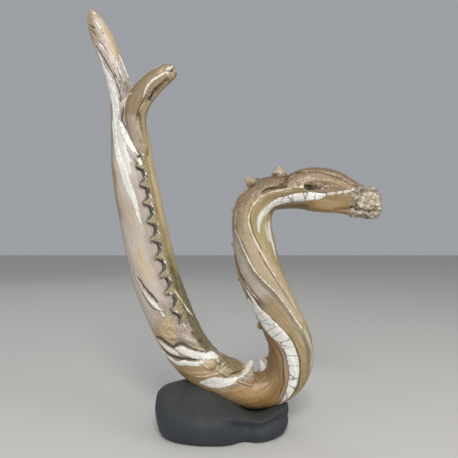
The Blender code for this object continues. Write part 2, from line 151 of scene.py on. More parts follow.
# Strokes of clay on the body: rows of (position, angle, half width in mm).
WHITE_STROKES = (
    ((1.9, 4, 0.4), (2.6, 10, 1.1), (3.2, 14, 0.8)),
    ((0.7, 4, 0.4), (0.9, 30, 1.1)),
    ((5.9, -58, 0.5), (7.7, -56, 1.6), (9.4, -44, 2.8), (10.7, -40, 3.9), (12.2, -36, 4.0),
     (13.8, -32, 3.7), (15.2, -38, 3.3), (16.2, -44, 2.9), (17.5, -43, 2.8), (19.1, -37, 2.9),
     (20.7, -28, 3.2), (22.0, -20, 3.5), (23.2, -16, 3.5), (24.2, -13, 3.2), (25.2, -8, 2.8),
     (26.2, -4, 2.2), (27.1, -2, 1.6), (28.9, 0, 0.6)),
    ((15.8, -22, 1.6), (16.7, -14, 2.4), (18.0, -4, 2.9), (19.2, 10, 2.6), (20.4, 22, 1.2)),
    ((21.0, 25, 1.3), (21.8, 26, 1.3)),
    ((6.9, 64, 0.4), (8.4, 72, 1.2), (9.7, 82, 1.2), (10.4, 94, 0.5)),
    ((7.9, 28, 0.7), (8.9, 30, 0.9), (9.9, 34, 0.6)),
    ((33.9, -78, 0.3), (35.4, -46, 0.5), (36.8, -36, 0.9), (37.9, -28, 1.2), (38.8, -20, 1.7),
     (39.7, -10, 1.0), (40.0, -2, 0.4)),
    ((43.1, -62, 0.6), (43.9, -46, 1.5), (44.6, -36, 2.3), (45.1, -28, 2.3), (45.6, -20, 1.1)),
    ((44.9, -14, 1.5), (45.4, -4, 2.6), (46.4, 8, 2.9), (47.2, 20, 2.9), (47.8, 30, 2.2)),
    ((43.2, -78, 0.4), (44.4, -70, 0.9), (45.2, -60, 1.3), (46.0, -46, 1.8), (46.5, -36, 2.1),
     (46.8, -20, 2.3), (47.4, -8, 2.0), (48.1, 8, 1.8), (48.3, 20, 1.0)),
    ((48.3, 33, 2.3), (48.9, 47, 3.0), (49.7, 51, 2.0)),
    ((49.7, -34, 0.9), (50.3, -22, 3.2), (51.0, -10, 5.0), (52.1, 6, 3.5), (53.0, 24, 2.3),
     (53.3, 32, 1.2)),
    ((72.4, 72, 1.2), (71.2, 70, 3.4), (69.8, 63, 4.4), (68.6, 52, 4.4), (67.6, 42, 3.4),
     (66.6, 34, 1.8)),
    ((73.6, 58, 0.5), (72.8, 55, 1.2), (71.4, 52, 2.6), (70.3, 47, 4.0), (69.5, 41, 4.6), (68.6, 34, 4.9),
     (67.8, 28, 5.2), (66.9, 22, 5.5), (66.0, 16, 5.4), (65.1, 10, 4.9), (64.3, 5, 4.6), (63.5, 1, 4.5),
     (62.6, -5, 4.3), (61.8, -10, 4.1), (60.9, -17, 3.9), (59.9, -28, 3.3), (59.1, -42, 2.3),
     (58.5, -52, 1.0)),
    ((93.0, -16, 1.0), (91.6, -23, 3.2), (89.9, -25, 4.0), (88.9, -26, 3.9), (88.0, -28, 3.6),
     (87.0, -33, 3.2), (86.0, -38, 2.8), (85.0, -38, 1.8), (84.2, -36, 0.8)),
)
PALE_STROKES = (
    ((88.4, -27, 3.6), (87.2, -34, 3.2), (85.8, -40, 3.3), (83.6, -34, 2.8), (82.3, -24, 2.2),
     (81.3, -18, 1.8), (80.0, -16, 0.7)),
    ((16.6, -28, 1.8), (18.2, -22, 2.8), (19.8, -14, 3.2), (21.2, -6, 2.8), (22.6, -4, 1.8)),
    ((19.9, -22, 0.7), (20.6, -8, 1.2), (21.2, 6, 0.9)),
    ((92.7, -16, 1.0), (93.2, -13, 0.4), (93.5, -11, 1.1), (94.0, -8, 1.2), (94.4, -5, 0.2),
     (94.7, -2, 1.3), (95.1, 3, 0.3), (95.5, 9, 1.3), (95.9, 15, 0.4), (96.2, 24, 1.1)),
    ((81.6, -57, 1.2), (79.5, -54, 2.0), (77.8, -57, 1.6), (76.1, -58, 0.5)),
    ((81.2, -42, 0.5), (79.6, -42, 0.7), (78.8, -46, 0.4)),
    ((66.2, -48, 0.7), (65.5, -52, 1.0), (64.6, -58, 1.0), (63.8, -62, 0.9), (63.0, -60, 0.8),
     (62.4, -62, 0.4)),
    ((76.7, 88, 0.4), (75.6, 82, 0.5), (74.7, 68, 0.6), (73.7, 60, 0.9), (72.8, 54, 1.2)),
    ((53.6, 36, 1.2), (54.1, 56, 2.2), (54.9, 84, 2.8), (55.6, 92, 1.4)),
    ((57.6, 88, 2.0), (58.8, 92, 1.8)),
)
# Small chips of white clay behind the fin's teeth and on the torn stretch below it.
CHIPS = (
    (22.9, 36, 0.6), (23.6, 32, 0.7), (25.8, 35, 0.9), (26.9, 36, 0.8), (27.9, 37, 0.7), (29.2, 41, 0.8),
    (30.4, 36, 0.6), (32.3, 34, 0.5), (34.0, 18, 0.4), (34.1, 35, 0.9), (36.3, 24, 0.7), (36.5, 36, 0.7),
    (38.6, 27, 0.8), (40.7, 22, 0.6), (42.8, 30, 0.6), (43.2, 40, 0.6), (40.4, -8, 0.8), (45.2, 37, 0.6),
    (20.3, 37, 1.0), (97.4, 14, 0.7),
)
CREAM_LINES = (
    ((82.6, 62, 0.3), (81.6, 58, 0.4), (80.9, 56, 0.4), (79.8, 46, 0.5), (78.5, 36, 0.5), (77.3, 26, 0.6),
     (75.9, 16, 0.6), (74.9, 8, 0.5), (73.8, -2, 0.5), (72.8, -10, 0.4), (71.7, -18, 0.3),
     (70.4, -24, 0.3), (69.1, -30, 0.4), (67.7, -36, 0.6), (66.6, -42, 0.8)),
    ((90.6, 3, 0.9), (89.7, 6, 0.9), (89.3, 8, 0.4), (88.9, 10, 0.25), (87.8, 8, 0.25), (86.2, 3, 0.3),
     (85.1, 4, 0.3), (83.8, 6, 0.4), (82.8, 10, 0.4), (81.9, 12, 0.4), (80.8, 8, 0.4), (79.7, 2, 0.4),
     (78.2, -8, 0.4), (76.8, -18, 0.3), (75.4, -26, 0.3), (73.8, -34, 0.3)),
    ((4.9, -26, 0.4), (5.4, -20, 0.7), (5.9, -16, 0.4)),
    ((10.8, 74, 0.4), (11.8, 90, 0.4)),
    ((48.4, -32, 0.1), (49.4, -14, 0.2), (50.3, 8, 0.25), (51.1, 32, 0.3), (51.5, 62, 0.2)),
    ((47.8, -36, 0.1), (48.8, -12, 0.15), (49.7, 10, 0.15), (50.4, 30, 0.1)),
    ((50.6, 38, 0.3), (50.9, 52, 0.5), (51.3, 70, 0.4)),
    ((52.4, 100, 0.4), (52.8, 74, 0.5), (52.9, 58, 0.4)),
    ((48.4, 4, 0.2), (48.7, 16, 0.4), (49.1, 30, 0.4)),
    ((74.5, 52, 0.3), (73.2, 44, 0.4), (72.1, 34, 0.3)),
    ((37.9, 36, 0.4), (39.1, 44, 0.7), (40.3, 52, 0.9), (41.5, 60, 0.9), (42.2, 70, 0.4)),
    ((71.4, -50, 0.1), (69.7, -53, 0.3), (67.4, -55, 0.3), (65.0, -60, 0.1)),
    ((92.4, -2, 0.1), (93.1, 8, 0.15), (94.2, 16, 0.1)),
)
CHARCOAL_STROKES = (
    ((14.0, 0, 0.7), (14.8, -6, 1.4), (15.7, -12, 1.3), (16.3, -10, 1.6), (17.4, 2, 1.7), (18.6, 14, 1.5),
     (19.7, 24, 1.1), (20.5, 28, 0.7)),
    ((5.0, -50, 0.4), (6.7, -34, 0.5), (8.4, -18, 0.7), (10.2, -6, 0.8), (11.8, -2, 0.9),
     (13.0, -2, 1.0)),
    ((8.1, 6, 0.4), (9.4, 4, 0.4), (10.7, 12, 0.4), (11.4, 14, 0.4)),
    ((2.1, -46, 0.5), (2.5, -30, 0.8), (2.8, -16, 0.4)),
    ((2.6, -54, 0.4), (3.1, -36, 0.7), (3.6, -26, 0.4)),
    ((4.7, -18, 0.4), (5.4, -10, 0.4), (6.3, -2, 0.4)),
    ((3.4, 10, 0.4), (3.9, 18, 0.4)),
    ((35.2, -40, 0.4), (36.1, -30, 0.9), (37.1, -22, 1.1), (37.9, -14, 1.2), (38.8, -8, 0.7)),
    ((42.8, -56, 0.9), (43.3, -36, 1.5), (44.1, -26, 1.4), (44.6, -16, 1.2), (44.5, -10, 1.4),
     (44.6, 0, 1.5), (45.1, 10, 1.4), (46.2, 22, 0.8), (47.3, 34, 0.8), (47.9, 38, 0.5)),
    ((43.8, -76, 0.5), (44.7, -52, 1.3), (45.5, -34, 1.4), (46.2, -20, 1.6), (46.7, -6, 1.5),
     (47.2, 4, 1.0), (48.1, 24, 0.4)),
    ((47.9, 34, 0.3), (48.2, 28, 0.4), (48.4, 20, 0.3), (48.3, 4, 0.3)),
    ((49.8, 56, 0.5), (50.2, 46, 0.9), (50.5, 38, 0.5)),
    ((50.2, 74, 0.5), (50.8, 68, 0.6)),
    ((90.3, 5, 1.5), (90.8, 1, 2.1)),
)
# Soft grey strokes: grey clay, two of them also painted shade.
GREY_AND_SHADE_STROKES = (
    ((18.2, -24, 0.6), (19.5, -6, 1.0), (20.7, 10, 1.0), (21.6, 22, 0.9)),
    ((10.9, 40, 1.8), (11.8, 28, 2.6), (12.6, 16, 2.3)),
    ((8.6, 26, 0.5), (10.0, 22, 1.2), (11.4, 18, 1.7), (12.8, 10, 1.5)),
    # Grey clay stripe beside the neck's cream line, deepened with painted shade along that raised line.
    ((76.0, 26, 0.6), (74.4, 12, 1.5), (73.5, 4, 2.0), (72.4, -6, 2.2), (71.4, -12, 2.0),
     (70.2, -19, 1.9), (69.0, -25, 2.0), (67.6, -30, 2.1), (66.4, -33, 2.0), (65.2, -36, 1.8),
     (63.8, -40, 1.3), (62.4, -46, 0.6)),
    ((67.3, 46, 0.7), (66.3, 36, 0.9), (65.0, 26, 1.1), (63.4, 16, 1.2), (61.9, 6, 1.2), (60.5, -6, 1.0),
     (59.2, -22, 0.9)),
    ((43.6, -18, 1.3), (44.0, 0, 1.5), (44.8, 16, 1.5), (45.8, 30, 1.4)),
    # Painted shade under the big thorn low on the bend.
    ((52.9, 2, 0.6), (53.6, 14, 1.1), (54.2, 26, 1.5), (54.8, 46, 1.3), (55.9, 58, 0.7)),
)
BROWN_STROKES = (
    ((77.8, 90, 1.1), (77.1, 72, 1.1), (75.8, 64, 0.8), (74.4, 50, 0.7), (73.2, 40, 0.6), (72.1, 32, 0.5),
     (70.8, 24, 0.3)),
    ((77.6, -8, 0.3), (75.8, -18, 0.4), (74.6, -26, 0.4), (72.9, -32, 0.4), (71.6, -38, 0.4),
     (70.2, -46, 0.3)),
    ((82.4, 12, 0.4), (81.6, 6, 0.4), (80.4, 2, 0.4), (79.1, -6, 0.4), (77.8, -16, 0.3)),
    ((67.7, 76, 0.3), (66.9, 54, 0.4), (65.6, 42, 0.5), (63.5, 28, 0.5), (61.8, 20, 0.6), (60.6, 8, 0.6),
     (59.5, -6, 0.5), (58.5, -26, 0.3)),
    ((66.7, -2, 0.4), (65.4, -6, 0.5), (63.9, -14, 0.5), (62.7, -20, 0.5), (61.8, -26, 0.5),
     (60.9, -34, 0.6), (60.2, -42, 0.4)),
    ((68.3, 38, 0.3), (67.2, 30, 0.4), (66.2, 24, 0.3)),
    ((66.1, -36, 0.3), (65.1, -40, 0.4), (64.1, -44, 0.4), (62.9, -48, 0.3)),
    ((34.8, -56, 0.3), (36.3, -42, 0.4), (37.7, -36, 0.5), (38.8, -30, 0.5), (39.8, -16, 0.4)),
    ((84.9, 16, 0.9), (85.5, 16, 1.1), (86.4, 16, 1.0), (87.2, 26, 1.4), (87.8, 36, 1.4), (88.6, 58, 1.0),
     (89.3, 68, 0.6)),
    ((89.3, 70, 0.6), (89.9, 62, 0.9), (90.3, 56, 1.0), (91.4, 48, 1.0), (92.3, 46, 0.9), (93.6, 40, 0.8),
     (94.9, 38, 0.6), (96.1, 40, 0.6), (96.8, 40, 0.3)),
    ((84.3, 54, 0.4), (84.9, 60, 0.6), (85.4, 66, 0.6), (86.1, 66, 0.6), (86.6, 82, 0.5)),
    ((90.3, 4, 1.6), (91.4, 0, 2.6), (92.8, 2, 1.6)),
    ((96.8, -44, 0.7), (97.1, -30, 0.7), (97.2, -16, 0.4)),
    ((96.3, 18, 0.7), (96.6, 18, 0.4), (96.9, 18, 0.7)),
    ((97.2, 34, 0.4), (97.8, 52, 0.4), (98.9, 48, 0.4), (99.7, 42, 0.4)),
)
# The same on the curled fluke.
FLUKE_CREAM = (
    ((93.2, -4, 0.5), (86.5, -2, 0.7), (77.8, 2, 0.8), (70.0, -6, 0.7), (62.8, -18, 0.5)),
    ((71.0, -40, 0.6), (65.8, -46, 1.1), (57.0, -48, 0.7), (48.2, -40, 0.4)),
    ((41.0, -26, 1.0), (34.8, -22, 1.3), (26.5, -26, 1.2), (19.0, -24, 0.6)),
    ((93.8, 10, 0.6), (97.0, 16, 1.0), (99.0, 30, 0.7)),
    ((91.8, -4, 0.5), (93.8, -16, 0.6)),
    ((59.8, 46, 0.5), (55.2, 78, 0.5), (51.8, 84, 0.4)),
)
FLUKE_DARK = (
    # The first row is painted shade on the curled fluke's right side, in the charcoal clay.
    ((84.5, -42, 0.6), (78.8, -42, 1.5), (73.2, -46, 2.0), (67.5, -60, 1.2), (63.0, -66, 0.5)),
    ((70.5, -30, 0.3), (65.2, -26, 0.4), (59.0, -26, 0.5), (51.8, -30, 0.8), (46.0, -22, 0.7),
     (40.0, -10, 0.3), (31.8, -10, 0.3), (20.0, -14, 0.3)),
    ((48.8, -40, 0.3), (34.5, -46, 0.4), (28.2, -50, 0.4), (20.8, -36, 0.3)),
    ((94.0, 0, 0.3), (96.8, -12, 0.8), (98.8, -2, 0.5)),
)

# How far the marbling turns round the body, in degrees at a position.
TWIST = (
    (0, 0), (5, 15), (13, 50), (25, 80), (34, 90), (40, 130), (42, 150), (48, 300), (56, 440), (67, 540),
    (82, 640), (100, 650),
)
# The angles of the white band round the bend and of the cream line down the neck, which the clays
# beside them keep to.
LOOP_GUIDE = (
    (56.0, -80), (58.5, -52), (60.9, -17), (62.6, -5), (64.3, 5), (66.0, 16), (68.6, 34), (71.4, 52),
)
NECK_GUIDE = (
    (56, -120), (62, -66), (66.6, -42), (69.1, -30), (71.7, -18), (73.8, -2), (75.9, 16), (78.5, 36),
    (80.9, 56), (84, 66),
)


def measure(name, description, default):
    return bpy.props.FloatProperty(
        name=name, description=description, default=default, precision=5, unit="LENGTH")


class FigureSizes(bpy.types.PropertyGroup):
    height: measure("Height", "Underside of the bend to the tip of the tail", 0.354)
    bend_level: measure("Bend level", "Height of the lowest bend over the table", 0.01716)
    unevenness: measure("Unevenness", "How far the hand-rolled surface wanders", 0.00045)
    tooling: measure("Tooling", "Depth of the fine ridges along the strokes of clay", 0.00045)
    roughness: measure("Roughness", "Height of the lumps where the clay is rough", 0.0009)


class StoneSizes(bpy.types.PropertyGroup):
    width: measure("Width", "Left to right", 0.117)
    depth: measure("Depth", "Front to back", 0.090)
    height: measure("Height", "Underside to the highest lobe", 0.044)
    seat_gap: measure("Seat gap", "Air between the body and its pocket", 0.0003)
    wear: measure("Wear", "Depth of the shallow dents", 0.0006)


def clay_colour(name, description, colour):
    return bpy.props.FloatVectorProperty(
        name=name, description=description, default=colour, size=3, min=0, max=1, subtype="COLOR_GAMMA")


class ClayColours(bpy.types.PropertyGroup):
    lavender: clay_colour("Lavender", "Pale lavender-grey clay of the tail's front", (0.75, 0.70, 0.66))
    ochre: clay_colour("Ochre", "Pale yellow clay in the lavender", (0.79, 0.70, 0.54))
    tan: clay_colour("Tan", "Tan clay of the tail's rim and the head", (0.63, 0.545, 0.42))
    olive: clay_colour("Olive", "Yellow-olive clay of the back", (0.61, 0.545, 0.37))
    # Moss: dark olive clay, darkened further by painted shade on the back, which is turned away from the
    # light.
    moss_and_shade: clay_colour("Moss", "Dark olive clay low on the back", (0.31, 0.29, 0.17))
    orange: clay_colour("Orange", "Warm clay of the lowest bend", (0.61, 0.475, 0.285))
    # Brown is a clay of the streaks and the head, and also painted shade inside the lowest bend.
    brown: clay_colour("Brown", "Brown clay inside the bend", (0.42, 0.32, 0.19))
    pink: clay_colour("Pink", "Pinkish tan of the neck and temple", (0.70, 0.625, 0.52))
    grey: clay_colour("Grey", "Speckled grey clay", (0.63, 0.58, 0.53))
    white: clay_colour("White", "White crackled clay", (0.94, 0.93, 0.90))
    cream: clay_colour("Cream", "Cream lines", (0.87, 0.80, 0.66))
    # Charcoal is dark clay, and also the colour of the painted shade along the fin's edge and on the curled
    # fluke's right side.
    charcoal: clay_colour("Charcoal", "Dark clay beside the white", (0.23, 0.22, 0.20))
    # The stone's sides and its upward faces: the difference between them is painted light, lighter and
    # greener on top, bluer and darker on the sides.
    stone: clay_colour("Stone", "Dark matte stone", (0.185, 0.200, 0.230))
    lit_stone_top: clay_colour("Stone top", "The stone's upper faces", (0.215, 0.225, 0.220))


class StageSizes(bpy.types.PropertyGroup):
    floor: measure("Floor", "Side of the pale floor", 6.0)
    eye_level: measure("Eye level", "Height of the camera", 0.175)
    distance: measure("Distance", "Camera to the figure", 0.4576)
    aside: measure("Aside", "Camera right of the middle", 0.0057)
    lens: bpy.props.FloatProperty(
        name="Lens", description="Focal length in mm on a 36 mm sensor", default=40.87)
    floor_colour: clay_colour("Floor colour", "Plain pale floor", (0.80, 0.79, 0.77))


def percent():
    return bpy.context.scene.dragon_sizes.height / 100


def level():
    return bpy.context.scene.dragon_sizes.bend_level


def linear(colour):
    """Display colour to the light values that shaders take."""
    c = np.asarray(colour, float)
    return np.where(c <= 0.04045, c / 12.92, ((c + 0.055) / 1.055) ** 2.4)


def smooth(edge0, edge1, x):
    t = np.clip((x - edge0) / (edge1 - edge0), 0, 1)
    return t * t * (3 - 2 * t)


def through(rows, at):
    """Values of a smooth curve through the rows, at shares 0 to 1 of its length."""
    rows = np.array(rows, float)
    along = np.r_[0, np.cumsum(np.linalg.norm(np.diff(rows[:, :3], axis=0), axis=1))]
    along /= along[-1]
    gaps = np.diff(along)[:, None]
    slopes = np.diff(rows, axis=0) / gaps
    inner = (slopes[:-1] * gaps[1:] + slopes[1:] * gaps[:-1]) / (gaps[1:] + gaps[:-1])
    tangents = np.vstack([slopes[:1], inner, slopes[-1:]])
    at = np.clip(np.asarray(at, float), 0, 1)
    k = np.clip(np.searchsorted(along, at, side="right") - 1, 0, len(rows) - 2)
    h = gaps[k]
    t = ((at - along[k]) / gaps[k, 0])[:, None]
    return (
        rows[k] * (2 * t**3 - 3 * t**2 + 1)
        + tangents[k] * h * (t**3 - 2 * t**2 + t)
        + rows[k + 1] * (3 * t**2 - 2 * t**3)
        + tangents[k + 1] * h * (t**3 - t**2)
    )


def read_off(rows, at):
    """The value at each place, straight between rows of (place, value)."""
    places, values = np.array(rows, float).T
    return np.interp(at, places, values)


def frames(rows, at):
    """Centres, directions along, to the viewer and to the back, half breadths and thicknesses."""
    at = np.asarray(at)
    here = through(rows, at) * percent()
    here[:, 2] += level()
    run = (through(rows, at + TANGENT_STEP) - through(rows, at - TANGENT_STEP))[:, :3]
    run /= np.linalg.norm(run, axis=1)[:, None]
    back = np.stack([-run[:, 2], 0 * run[:, 0], run[:, 0]], axis=1)
    back -= run * (back * run).sum(axis=1)[:, None]
    back /= np.linalg.norm(back, axis=1)[:, None]
    front = np.cross(run, back)
    return here[:, :3], run, front, back, here[:, 3] / 2, here[:, 4] / 2


def length_of(rows):
    points = through(rows, np.linspace(0, 1, 400))[:, :3] * percent()
    return float(np.linalg.norm(np.diff(points, axis=0), axis=1).sum())


def surface(rows, at, angle):
    """Points of the plain body at arrays of (percent, degrees)."""
    centre, _, front, back, half_breadth, half_depth = frames(rows, np.asarray(at) / 100)
    turn = np.radians(angle)[:, None]
    ring = front * half_depth[:, None] * np.cos(turn) + back * half_breadth[:, None] * np.sin(turn)
    return centre + ring


def bump(distance, breadth):
    return np.exp(-((distance / breadth) ** 2))


def near_line(line, at, angle, length, radius):
    """Distance over the surface, in metres, from each (position, angle) to a line drawn on it."""
    line = np.array(line, float)
    fine = np.linspace(0, len(line) - 1, 12 * (len(line) - 1) + 1)
    steps = np.arange(len(line))
    line_at = np.interp(fine, steps, line[:, 0])
    line_angle = np.interp(fine, steps, line[:, 1])
    far = np.full(at.shape, 1.0)
    close = (at > line_at.min() - 4) & (at < line_at.max() + 4)
    along = (at[close][:, None] - line_at) / 100 * length
    across = np.radians(angle[close][:, None] - line_angle) * radius[close][:, None]
    far[close] = np.sqrt(along**2 + across**2).min(axis=-1)
    return far


def body_relief(at, angle, radius):
    """How far the carving lifts or sinks the body's surface, in metres."""
    length = length_of(POSE)
    unit = percent()
    from_back = np.abs((angle - 90 + 180) % 360 - 180)
    lift = np.zeros_like(at)
    for line, breadth, depth in HEAD_CUTS:
        lift -= depth * unit * bump(near_line(line, at, from_back, length, radius), breadth * unit)
    for spot, from_line, breadth, height in (*SNOUT_LUMPS, EYE, EYE_PIT):
        away = near_line(((spot, from_line), (spot, from_line)), at, from_back, length, radius)
        lift += height * unit * bump(away, breadth * unit)
    return lift


def fluke_relief(at, angle, radius):
    line, breadth, depth = FLUKE_GROOVE
    away = near_line(line, at, (angle + 180) % 360 - 180, length_of(FLUKE), radius)
    return -depth * percent() * bump(away, breadth * percent())


def deselect():
    if bpy.context.object and bpy.context.object.mode != "OBJECT":
        bpy.ops.object.mode_set(mode="OBJECT")
    bpy.ops.object.select_all(action="DESELECT")


def choose(thing):
    deselect()
    thing.select_set(True)
    bpy.context.view_layer.objects.active = thing


def close_seams(thing):
    """Merges the seam and the pinched ends of a rolled sheet and turns its faces outwards."""
    choose(thing)
    bpy.ops.object.mode_set(mode="EDIT")
    bpy.ops.mesh.select_all(action="SELECT")
    bpy.ops.mesh.remove_doubles(threshold=1e-6)
    bpy.ops.mesh.normals_make_consistent(inside=False)
    bpy.ops.object.mode_set(mode="OBJECT")


def rolled_sheet(name, points):
    """A flat sheet of clay bent to the given rows of points and closed to a solid."""
    rows, columns = points.shape[:2]
    deselect()
    bpy.ops.mesh.primitive_grid_add(x_subdivisions=columns - 1, y_subdivisions=rows - 1, size=1)
    sheet = bpy.context.object
    sheet.name = name
    sheet.data.name = name
    sheet.data.vertices.foreach_set("co", points.reshape(-1).astype(np.float32))
    close_seams(sheet)
    return sheet


def swept(name, rows, stations, sides, relief, grow=0.0):
    """A body of rings along the rows' curve, rounded off at both ends."""
    turns = np.linspace(0, 90, CAP_RINGS + 1)[:-1]
    push = np.r_[np.cos(np.radians(np.r_[0, turns[1:]])), 0 * stations, np.sin(np.radians(turns[1:])), 1]
    start = np.r_[0, turns[1:]]
    shrink = np.r_[np.sin(np.radians(start)), 0 * stations + 1, np.cos(np.radians(turns[1:])), 0]
    at = np.r_[0 * start + stations[0], stations, 0 * start + stations[-1]]
    centre, run, front, back, half_breadth, half_depth = frames(rows, at)
    reach = 0.25 * half_depth * push + grow
    reach[: len(start)] *= -1
    reach[len(start): len(start) + len(stations)] = 0
    centre = centre + run * reach[:, None]
    angle = np.linspace(0, 360, sides + 1)
    cosine, sine = np.cos(np.radians(angle)), np.sin(np.radians(angle))
    ring = (
        front[:, None] * (half_depth[:, None] * cosine)[..., None]
        + back[:, None] * (half_breadth[:, None] * sine)[..., None]
    )
    radius = np.linalg.norm(ring, axis=2)
    places = np.repeat(at[:, None] * 100, sides + 1, axis=1)
    lift = relief(places, np.repeat(angle[None], len(at), axis=0), radius) + grow
    lift[:, -1] = lift[:, 0]
    ring *= ((1 + lift / radius) * shrink[:, None])[..., None]
    ring[:, -1] = ring[:, 0]
    return rolled_sheet(name, centre[:, None] + ring)


def body_stations():
    head = HEAD_START / 100
    plain = np.linspace(0, head, RINGS_ON_BODY, endpoint=False)
    return np.r_[plain, np.linspace(head, 1, RINGS_ON_HEAD)]


def on_body(at, root_angle, tip_angle):
    """Root point sunk in the body, the run of the body there, and the ways out and across."""
    centre, run, front, back, half_breadth, half_depth = (v[0] for v in frames(POSE, [at / 100]))
    turn = math.radians(root_angle)
    root = front * half_depth * math.cos(turn) + back * half_breadth * math.sin(turn)
    root *= 1 - ROOT_DEPTH * percent() / np.linalg.norm(root)
    aim = math.radians(tip_angle)
    out = front * math.cos(aim) + back * math.sin(aim)
    return centre + root, run, out, np.cross(run, out)


def skin_points(at, angle, rise):
    """Points that stand the given rises, in hundredths of the figure, off the body's surface."""
    at, angle, rise = (v.ravel() for v in np.broadcast_arrays(at, angle, np.asarray(rise, float)))
    centre, _, front, back, half_breadth, half_depth = frames(POSE, at / 100)
    turn = np.radians(angle)[:, None]
    ring = front * half_depth[:, None] * np.cos(turn) + back * half_breadth[:, None] * np.sin(turn)
    return centre + ring * (1 + rise * percent() / np.linalg.norm(ring, axis=1))[:, None]


def lapped_section(root, edge, rise, thickness):
    """Places (share from root to edge, rise) round a sheet that stands off: over, round, under."""
    t = np.linspace(0, 1, 10)
    over = np.c_[root + (edge - root) * t, -0.25 + (rise + 0.25) * t**0.6]
    turn = np.linspace(0, math.pi, 7)[1:-1]
    nose = np.sign(edge - root) * 0.35
    round_edge = np.c_[edge + nose * np.sin(turn), rise - thickness * (1 - np.cos(turn)) / 2]
    low = rise - thickness
    under = np.c_[edge + (root - edge) * t, low + (-ROOT_DEPTH - low) * t**0.8]
    loop = np.r_[over, round_edge, under]
    return np.r_[loop, loop[:1]]


def fin_profile():
    """Position, angle and rise of the fin's edge, from its upper end to its lower one."""
    skipped = FIN_STEPS // 6
    place = np.arange(skipped, (FIN_TEETH + 1) * FIN_STEPS - skipped + 1) / FIN_STEPS - 1
    past = place - np.floor(place)
    outer = np.clip(1 - 1.6 * np.minimum(past, 1 - past), 0, None)
    fall = np.clip(1 - past / FALL_TO, 0, None) ** FALL_POWER
    climb = np.clip((past - CLIMB_FROM) / (1 - CLIMB_FROM), 0, None) ** CLIMB_POWER
    share = np.where((place < 0) | (place > FIN_TEETH - 1), outer, np.maximum(fall, climb))
    ends = np.minimum(1, 2.2 * np.minimum(place + 1, FIN_TEETH - place))
    rise = (FIN_RISE + (FIN_TIP_RISE - FIN_RISE) * share) * ends
    at = FIN_FROM + place * (FIN_TO - FIN_FROM) / (FIN_TEETH - 1)
    return at, FIN_VALLEY + (FIN_TIP - FIN_VALLEY) * share, rise


def closed_strip(name, rows):
    """A solid of loops, pinched shut at both ends."""
    ends = [np.repeat(row.mean(axis=0)[None], len(row), axis=0) for row in (rows[0], rows[-1])]
    return rolled_sheet(name, np.array([ends[0], *rows, ends[1]]))


def saw_fin():
    """The saw-edged sheet: its root sunk in the body, its toothed edge standing off."""
    rows = []
    for at, edge, rise in zip(*fin_profile()):
        section = lapped_section(FIN_ROOT, edge, rise, FIN_EDGE)
        rows.append(skin_points(at, section[:, 0], section[:, 1]))
    return closed_strip("saw_fin", rows)


def fold(start, end, low, high, rise, jag):
    """A torn sheet that climbs from the body's surface to a ragged edge standing off it."""
    rows = []
    corners = np.arange(FOLD_STEPS + 1)
    jags = jag * np.sin(JAG_STEP * corners + start)
    for k in np.linspace(0, FOLD_STEPS, FOLD_ROWS):
        share = k / FOLD_STEPS
        swell = math.sin(math.pi * min(max(share, END_SHARE), 1 - END_SHARE))
        edge = end + np.interp(k, corners, jags) - END_SETBACK * (1 - swell)
        height = rise * swell**0.5
        section = lapped_section(0.0, 1.0, height, min(FOLD_EDGE, height))
        at = start + (edge - start) * np.clip(section[:, 0], 0, 1.02)
        rows.append(skin_points(at, low + (high - low) * share, section[:, 1]))
    return closed_strip("torn_fold", rows)


def thorn(at, root_angle, tip_angle, length, height, lean):
    """One loose thorn: an oval root drawn out to a blunt point."""
    root, run, out, side = on_body(at, root_angle, tip_angle)
    rise = (height + ROOT_DEPTH) * percent()
    around = np.linspace(0, 2 * math.pi, THORN_SIDES + 1)[:, None]
    step = run * np.cos(around) + side * np.sin(around) * THORN_THICKNESS
    rows = []
    for share in np.linspace(0, 1, THORN_RINGS):
        size = THORN_TIP + (1 - THORN_TIP) * (1 - share) ** THORN_TAPER
        middle = root + out * rise * share + run * lean * percent() * share
        rows.append(middle + step * size * length * percent() / 2)
    return closed_strip("thorn", rows)


def apply_modifier(thing, name, kind, **settings):
    choose(thing)
    modifier = thing.modifiers.new(name, kind)
    for key, value in settings.items():
        setattr(modifier, key, value)
    bpy.ops.object.modifier_apply(modifier=modifier.name)


def unite(target, other, operation="UNION"):
    apply_modifier(target, other.name, "BOOLEAN", operation=operation, object=other, solver="EXACT")
    bpy.data.objects.remove(other)


def places_on(rows, points, samples=2400):
    """Nearest position, angle and distance over half width for each point."""
    at = np.linspace(0, 1, samples)
    centre, run, front, back, half_breadth, half_depth = frames(rows, at)
    best = np.zeros(len(points), int)
    for first in range(0, len(points), POINTS_AT_ONCE):
        part = points[first: first + POINTS_AT_ONCE]
        gap = ((part[:, None] - centre[None, ::4]) ** 2).sum(axis=2)
        best[first: first + POINTS_AT_ONCE] = gap.argmin(axis=1) * 4
    for _ in range(3):
        step = ((points - centre[best]) * run[best]).sum(axis=1) / (length_of(rows) / samples)
        best = np.clip(best + np.clip(np.round(step), -6, 6).astype(int), 0, samples - 1)
    away = points - centre[best]
    x = (away * front[best]).sum(axis=1)
    y = (away * back[best]).sum(axis=1)
    angle = np.degrees(np.arctan2(y / half_breadth[best], x / half_depth[best]))
    return at[best] * 100, angle, np.hypot(x / half_depth[best], y / half_breadth[best]), x, y


def other_side(rows):
    """The same stroke on the far side, a little further along."""
    return tuple((at + MIRROR_SHIFT, 180 - angle, half) for at, angle, half in rows)


